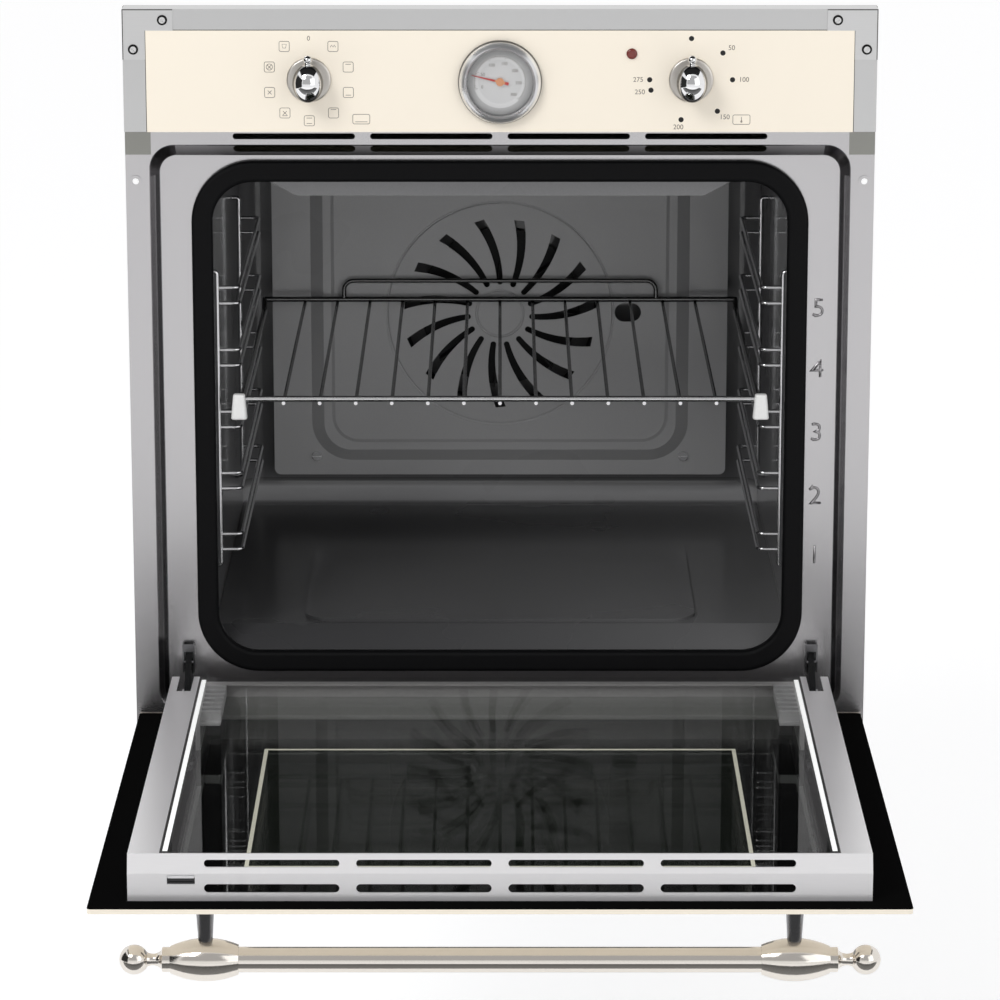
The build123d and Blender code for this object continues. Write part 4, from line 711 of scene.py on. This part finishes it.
finishes = {
    "galvanised": galvanisedSteel(),
    "trim": steelSheet("satin_trim", grey(0.57), grey(0.61), (0.26, 0.36), 60, (1, 60, 60)),
    "pressed": steelSheet(
        "pressed_steel", (0.34, 0.33, 0.34, 1), (0.42, 0.41, 0.42, 1), (0.22, 0.30), 60, (50, 50, 1),
    ),
    "drawn": frameSteel(),
    "strip": stripSteel(),
    "bracket": bracketSteel(),
    "screw": screwSteel(),
    "knobChrome": knobChrome(),
    "bezel": bezelChrome(),
    "catch": catchFinish(),
    "ring": steelSheet("satin_ring", (0.60, 0.57, 0.53, 1), (0.68, 0.65, 0.61, 1), (0.34, 0.44), 90),
    "darkChrome": steelSheet(
        "dark_chrome", (0.16, 0.16, 0.165, 1), (0.26, 0.26, 0.27, 1), (0.14, 0.24), 80,
    ),
    # painted glow: the pane edge lines shine white without a lamp
    "glowingEdge": inkPaint("pane_edge_painted_glow", (0.92, 0.93, 0.92, 1), 0.45),
    "nickel": steelSheet(
        "polished_nickel", (0.70, 0.66, 0.61, 1), (0.76, 0.72, 0.67, 1), (0.08, 0.15), 60, (60, 1, 60),
    ),
    "wire": steelSheet("plated_wire", (0.55, 0.55, 0.56, 1), (0.66, 0.66, 0.67, 1), (0.12, 0.22), 90),
    "shelf": platedShelf(),
    "motor": steelSheet("motor_steel", (0.38, 0.38, 0.39, 1), (0.48, 0.48, 0.49, 1), (0.35, 0.5), 40),
    "element": heatedSteel("element_sheath", (0.20, 0.17, 0.15, 1), (0.34, 0.27, 0.22, 1), 0.4),
    "cream": creamEnamel(),
    "enamel": cavityEnamel("cavity_enamel", (0.18, 0.18, 0.185, 1), (0.25, 0.25, 0.255, 1), 0.8),
    "panelEnamel": cavityEnamel("panel_enamel", (0.54, 0.54, 0.545, 1), (0.63, 0.63, 0.635, 1), 0.3),
    "rubber": rubber(),
    "switch": mouldedPlastic("switch_plastic", (0.02, 0.02, 0.022, 1), (0.035, 0.035, 0.037, 1), 0.45),
    "bumper": mouldedPlastic("white_bumper", (0.80, 0.80, 0.79, 1), (0.86, 0.86, 0.85, 1), 0.3),
    "clear": paneGlass("clear_glass", grey(0.98), 1.5, 0.35),
    "tinted": paneGlass("tinted_glass", (0.89, 0.90, 0.89, 1), 1.5, 0.3),
    "print": printedGlass(),
    "lens": lensGlass(),
    "dial": dialPaint(),
    "needle": needlePaint(),
    "wool": mineralWool(),
    "ink": inkPaint("brown_ink", (0.16, 0.135, 0.115, 1)),
    "blackInk": inkPaint("black_ink", grey(0.003)),
    "seamInk": inkPaint("seam_shadow", (0.12, 0.12, 0.11, 1)),
    # cream print of the window border, with painted glow added to brighten it
    "glowingCreamInk": inkPaint("cream_ink_painted_glow", (0.86, 0.82, 0.70, 1), 0.45),
    "profile": doorProfile(),
    "rail": castAlloy("rail_alloy", (0.36, 0.355, 0.35, 1), (0.44, 0.43, 0.425, 1)),
    "holder": castAlloy("holder_alloy", grey(0.40), grey(0.52)),
    # painted shade: fan and ring element near-black, for the darkness seen through the cover's slots
    "fan": castAlloy("fan_painted_shade", (0.015, 0.015, 0.016, 1), (0.03, 0.03, 0.031, 1)),
}

wears = {
    "galvanised": ["left_side_cover", "right_side_cover", "base_tray", "top_cover", "rear_cover",
                   "cooling_duct", "hinge_receivers", "lamp_housing"],
    "trim": ["panel_trim"],
    "bracket": ["corner_brackets"],
    "screw": ["bracket_screws"],
    "drawn": ["front_frame"],
    "darkChrome": ["hinge_arms", "hinge_pins", "hinge_latches", "handle_posts"],
    "strip": ["door_left_strip", "door_right_strip", "hinge_channels"],
    "profile": ["door_top_profile"],
    "rail": ["door_bottom_rail"],
    "holder": ["glass_holders"],
    "fan": ["convection_fan", "ring_element"],
    "knobChrome": ["selector_knob", "thermostat_knob"],
    "ring": ["knob_rings"],
    "bezel": ["gauge_case"],
    "catch": ["door_catch"],
    "nickel": ["handle_bar", "handle_ends"],
    "wire": ["left_shelf_ladder", "right_shelf_ladder", "cavity_fasteners"],
    "shelf": ["wire_shelf"],
    "motor": ["convection_motor", "blower_motor", "thermostat", "blower_wheel", "selector_spindle",
              "thermostat_spindle"],
    "element": ["grill_element", "lower_element"],
    "cream": ["control_fascia"],
    "enamel": ["cavity_liner", "grill_deflector"],
    "panelEnamel": ["fan_cover"],
    "rubber": ["door_gasket"],
    "switch": ["mains_inlet", "selector_switch"],
    "bumper": ["shelf_caps"],
    "clear": ["door_inner_glass", "gauge_window", "lamp_glass"],
    "tinted": ["door_middle_glass"],
    "print": ["door_outer_glass"],
    "lens": ["pilot_lamp"],
    "dial": ["gauge_dial"],
    "needle": ["gauge_needle"],
    "wool": ["insulation"],
}

for finish, nodes in wears.items():
    for node in nodes:
        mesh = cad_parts[node].data
        mesh.materials.clear()
        mesh.materials.append(finishes[finish])
print("finishes on:", sum(len(nodes) for nodes in wears.values()), "nodes")


# printed and pressed marks

letterDepth = 0.02 * mm


def settle(piece, name, finish, body):
    piece.name = name
    piece.data.materials.clear()
    piece.data.materials.append(finishes[finish])
    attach(piece, body)
    return piece


def joined(parts):
    bpy.ops.object.select_all(action="DESELECT")
    for part in parts:
        part.select_set(True)
    bpy.context.view_layer.objects.active = parts[0]
    bpy.ops.object.join()
    whole = bpy.context.object
    bpy.ops.object.select_all(action="DESELECT")
    return whole


def applyPlace():
    bpy.ops.object.transform_apply(location=True, rotation=True, scale=True)


def lineMarks(strokes, width, thickness, front):
    curve = bpy.data.curves.new("strokes", "CURVE")
    curve.dimensions = "3D"
    curve.bevel_depth = width / 2
    curve.bevel_resolution = 0
    for points, closed in strokes:
        spline = curve.splines.new("POLY")
        spline.points.add(len(points) - 1)
        for point, (x, z) in zip(spline.points, points):
            point.co = (x, 0, z, 1)
        spline.use_cyclic_u = closed
    marks = bpy.data.objects.new("strokes", curve)
    bpy.context.collection.objects.link(marks)
    bpy.ops.object.select_all(action="DESELECT")
    bpy.context.view_layer.objects.active = marks
    marks.select_set(True)
    bpy.ops.object.convert(target="MESH")
    marks = bpy.context.object
    marks.scale = (1, thickness / width, 1)
    marks.location = (0, front, 0)
    applyPlace()
    bpy.ops.object.select_all(action="DESELECT")
    return marks


def writing(text, size, place, bead=0):
    bpy.ops.object.text_add(location=(0, 0, 0))
    words = bpy.context.object
    words.data.body = text
    words.data.size = size
    words.data.align_x = "CENTER"
    words.data.align_y = "CENTER"
    if bead:  # only the outline, as a round bead
        words.data.fill_mode = "NONE"
        words.data.bevel_depth = bead
        words.data.bevel_resolution = 2
        words.data.offset = -bead
    else:
        words.data.extrude = letterDepth
    bpy.ops.object.convert(target="MESH")
    words = bpy.context.object
    words.location = place
    words.rotation_euler = (pi / 2, 0, 0)
    applyPlace()
    bpy.ops.object.select_all(action="DESELECT")
    return words


def levelSheet(place, width, length):
    bpy.ops.mesh.primitive_plane_add(size=1, location=place)
    sheet = bpy.context.object
    sheet.scale = (width, length, 1)
    applyPlace()
    return sheet


def thicken(sheet, thickness):
    solid = sheet.modifiers.new("thickness", "SOLIDIFY")
    solid.thickness = thickness
    solid.offset = 1
    bpy.ops.object.modifier_apply(modifier=solid.name)


def around(centre, radius, degrees):
    angle = radians(degrees)
    return centre[0] + radius * cos(angle), centre[1] + radius * sin(angle)


def ring(centre, radius, steps):
    return [around(centre, radius, 360 * step / steps) for step in range(steps)]


def roundedBox(x, z, width, height, radius, steps=3):
    points = []
    for corner in range(4):
        across = width / 2 - radius
        up = height / 2 - radius
        centreX = x + (across if corner in (0, 3) else -across)
        centreZ = z + (up if corner < 2 else -up)
        for step in range(steps + 1):
            points.append(around((centreX, centreZ), radius, 90 * corner + 90 * step / steps))
    return points


selectorMarks = {
    "centre": (-150 * mm, 539.5 * mm),
    "radius": 32.5 * mm,
    "turn": 36,
    "box": 8.0 * mm,
    "corner": 1.3 * mm,
    "glyphShare": 0.27,
    "line": 0.42 * mm,
    "front": -24.02 * mm,
    "thickness": 0.06 * mm,
    "zeroSize": 5.2 * mm,
    "wideBox": (13.4 * mm, 7.6 * mm),
    "wideBoxPlace": (-109.1 * mm, 508.3 * mm),
    "wideBoxLine": (0.36, 0.28),  # half its length and its drop, as shares of the box
}

# strokes of the glyphs, in shares of their reach, and whether each is closed
glyphStrokes = {
    "wave": ([(-1, -0.3), (-0.5, 0.5), (0, -0.3), (0.5, 0.5), (1, -0.3)], False),
    "high": ([(-1, 1), (1, 1)], False),
    "low": ([(-1, -1), (1, -1)], False),
    "ceiling": ([(-1, 1.3), (1, 1.3)], False),
    "bowl": ([(-0.8, 0.8), (0.8, 0.8), (0.5, -0.6), (-0.5, -0.6)], True),
    "ring": (ring((0, 0), 1.15, 12), True),
}
blades = ["blade45", "blade135", "blade225", "blade315"]
for blade, degrees in zip(blades, (45, 135, 225, 315)):
    glyphStrokes[blade] = ([(0, 0), around((0, 0), 1, degrees)], False)

# clockwise from the zero
glyphs = [["wave"], ["high"], ["low"], ["ceiling"], ["high", "low"], blades + ["low"], blades,
          blades + ["ring"], ["bowl"]]


def glyphAt(names, x, z):
    reach = selectorMarks["box"] * selectorMarks["glyphShare"]
    return [([(x + reach * across, z + reach * up) for across, up in points], closed)
            for points, closed in (glyphStrokes[name] for name in names)]


def printSelectorMarks():
    strokes = []
    centre, radius, front = (selectorMarks[key] for key in ("centre", "radius", "front"))
    box, corner = selectorMarks["box"], selectorMarks["corner"]
    for index, names in enumerate(glyphs):
        x, z = around(centre, radius, 90 - selectorMarks["turn"] * (index + 1))
        strokes.append((roundedBox(x, z, box, box, corner), True))
        strokes += glyphAt(names, x, z)
    x, z = selectorMarks["wideBoxPlace"]
    width, height = selectorMarks["wideBox"]
    reach, drop = selectorMarks["wideBoxLine"]
    strokes.append((roundedBox(x, z, width, height, corner), True))
    strokes.append(([(x - reach * width, z - drop * height), (x + reach * width, z - drop * height)], False))
    boxes = lineMarks(strokes, selectorMarks["line"], selectorMarks["thickness"], front)
    zero = writing("0", selectorMarks["zeroSize"], (centre[0], front, centre[1] + radius))
    settle(joined([boxes, zero]), "selector_marks", "ink", "oven")


thermostatMarks = {
    "centre": (150 * mm, 539.5 * mm),
    "radius": 32.5 * mm,
    "dotRadius": 2.05 * mm,
    "thickness": 0.06 * mm,
    "textSize": 5.4 * mm,
    "textGap": (9.02 * mm, 6.15 * mm),  # across and up
    "front": -24.02 * mm,
    "dots": {0: "", 49.5: "50", 90: "100", 140: "150", 193.5: "200", 255.3: "250", 270: "275"},
    "iconPlace": (189.9 * mm, 507.9 * mm),
    "icon": (13.5 * mm, 7.5 * mm),
    "iconCorner": 1.2 * mm,
    "bulb": 1.2 * mm,
    "bulbCorner": 0.5 * mm,
    "stem": 0.3,  # half its length, as a share of the icon's height
    "bulbDrop": 0.2,
    "line": 0.42 * mm,
}


def printThermostatMarks():
    centre, radius, front = (thermostatMarks[key] for key in ("centre", "radius", "front"))
    across, up = thermostatMarks["textGap"]
    numbers = []
    dots = []
    for turn, text in thermostatMarks["dots"].items():
        x, z = around(centre, radius, 90 - turn)
        bpy.ops.mesh.primitive_cylinder_add(
            vertices=32, radius=thermostatMarks["dotRadius"], depth=thermostatMarks["thickness"],
            location=(x, front, z), rotation=(pi / 2, 0, 0),
        )
        applyPlace()
        dots.append(bpy.context.object)
        if text:
            angle = radians(90 - turn)
            place = (x + across * cos(angle), front, z + up * sin(angle))
            numbers.append(writing(text, thermostatMarks["textSize"], place))
    x, z = thermostatMarks["iconPlace"]
    width, height = thermostatMarks["icon"]
    stem, drop = thermostatMarks["stem"] * height, thermostatMarks["bulbDrop"] * height
    bulb, corner = thermostatMarks["bulb"], thermostatMarks["bulbCorner"]
    strokes = [
        (roundedBox(x, z, width, height, thermostatMarks["iconCorner"]), True),
        ([(x, z - stem), (x, z + stem)], False),
        (roundedBox(x, z - drop, bulb, bulb, corner), True),
    ]
    numbers.append(lineMarks(strokes, thermostatMarks["line"], thermostatMarks["thickness"], front))
    settle(joined(dots), "thermostat_dots", "blackInk", "oven")
    settle(joined(numbers), "thermostat_numbers", "ink", "oven")


gaugeScale = {
    "centre": (0, 537.7 * mm),
    "front": -23.02 * mm,
    "outer": 20.4 * mm,
    "shortTick": 1.2 * mm,
    "longTick": 2.2 * mm,
    "line": 0.28 * mm,
    "thickness": 0.05 * mm,
    "start": 196.6,  # degrees, where the needle's lower stop is
    "sweep": 240,
    "ticks": 60,
    "longEvery": 10,
    "perTick": 5,  # what one tick counts for
    "arcSteps": 80,
    "numberSize": 3.4 * mm,
    "numberRadius": 14.6 * mm,
}


def printGaugeScale():
    centre, front, outer = (gaugeScale[key] for key in ("centre", "front", "outer"))
    start, sweep, steps = (gaugeScale[key] for key in ("start", "sweep", "arcSteps"))
    strokes = []
    parts = []
    for tick in range(gaugeScale["ticks"] + 1):
        degrees = start - sweep * tick / gaugeScale["ticks"]
        long = tick % gaugeScale["longEvery"] == 0
        inner = outer - gaugeScale["longTick" if long else "shortTick"]
        strokes.append(([around(centre, inner, degrees), around(centre, outer, degrees)], False))
        if long:
            x, z = around(centre, gaugeScale["numberRadius"], degrees)
            parts.append(writing(str(tick * gaugeScale["perTick"]), gaugeScale["numberSize"], (x, front, z)))
    strokes.append(([around(centre, outer, start - sweep * step / steps) for step in range(steps + 1)], False))
    parts.append(lineMarks(strokes, gaugeScale["line"], gaugeScale["thickness"], front))
    settle(joined(parts), "gauge_scale", "ink", "oven")


shelfNumbers = {
    "x": 256.4 * mm,
    "heights": [142.3 * mm, 192 * mm, 245 * mm, 297.7 * mm, 347.7 * mm],
    "size": 21.5 * mm,
    "bead": 1.05 * mm,
    "front": 17.9 * mm,
}


def pressShelfNumbers():
    digits = [writing(str(index + 1), shelfNumbers["size"], (shelfNumbers["x"], shelfNumbers["front"], height),
                      shelfNumbers["bead"])
              for index, height in enumerate(shelfNumbers["heights"])]
    settle(joined(digits), "shelf_numbers", "pressed", "oven")


windowLine = {"width": 3.0 * mm, "height": 0.2 * mm, "lift": 0.02 * mm}


def printWindowLine():
    start, end = doorPrint["windowStart"], doorPrint["windowEnd"]
    place = (0, (start + end) / 2, doorPrint["backFace"] + windowLine["lift"])
    line = levelSheet(place, 2 * doorPrint["windowHalfWidth"], start - end)
    bpy.ops.object.mode_set(mode="EDIT")
    bpy.ops.mesh.select_all(action="SELECT")
    bpy.ops.mesh.inset(thickness=windowLine["width"])
    bpy.ops.mesh.delete(type="FACE")
    bpy.ops.mesh.select_all(action="SELECT")
    bpy.ops.object.mode_set(mode="OBJECT")
    thicken(line, windowLine["height"])
    # cream print with painted glow
    settle(line, "window_line", "glowingCreamInk", "door")


seams = {
    "fascia": (277.75 * mm, 498 * mm, 578.2 * mm),  # half width, bottom, top
    "line": 0.7 * mm,
    "front": -22.84 * mm,
    "thickness": 0.06 * mm,
    "holes": [(-289.6 * mm, 454.5 * mm), (289.6 * mm, 454.5 * mm)],
    "holeRing": 4.0 * mm,
    "ringSteps": 24,
    "flangeFront": -0.04 * mm,
    "paneEdge": 240.4 * mm,
    "paneStart": -22 * mm,
    "paneEnd": -455.5 * mm,
    "paneTop": 48.22 * mm,
    "paneLine": 3.6 * mm,
}


def drawSeams():
    half, bottom, top = seams["fascia"]
    line, thickness = seams["line"], seams["thickness"]
    side, upper = half + line / 2, top + line / 2
    border = [([(-side, bottom), (-side, upper), (side, upper), (side, bottom)], False)]
    panel = lineMarks(border, line, thickness, seams["front"])
    rings = [(ring(hole, seams["holeRing"], seams["ringSteps"]), True) for hole in seams["holes"]]
    holes = lineMarks(rings, line, thickness, seams["flangeFront"])
    settle(joined([panel, holes]), "panel_seams", "seamInk", "oven")

    start, end = seams["paneStart"], seams["paneEnd"]
    edges = []
    for x in (-seams["paneEdge"], seams["paneEdge"]):
        edge = levelSheet((x, (start + end) / 2, seams["paneTop"]), seams["paneLine"], start - end)
        thicken(edge, thickness)
        edges.append(edge)
    # painted glow on the pane edge lines
    settle(joined(edges), "pane_edges", "glowingEdge", "door")


printSelectorMarks()
drawSeams()
printThermostatMarks()
printGaugeScale()
pressShelfNumbers()
printWindowLine()
print("marks made")
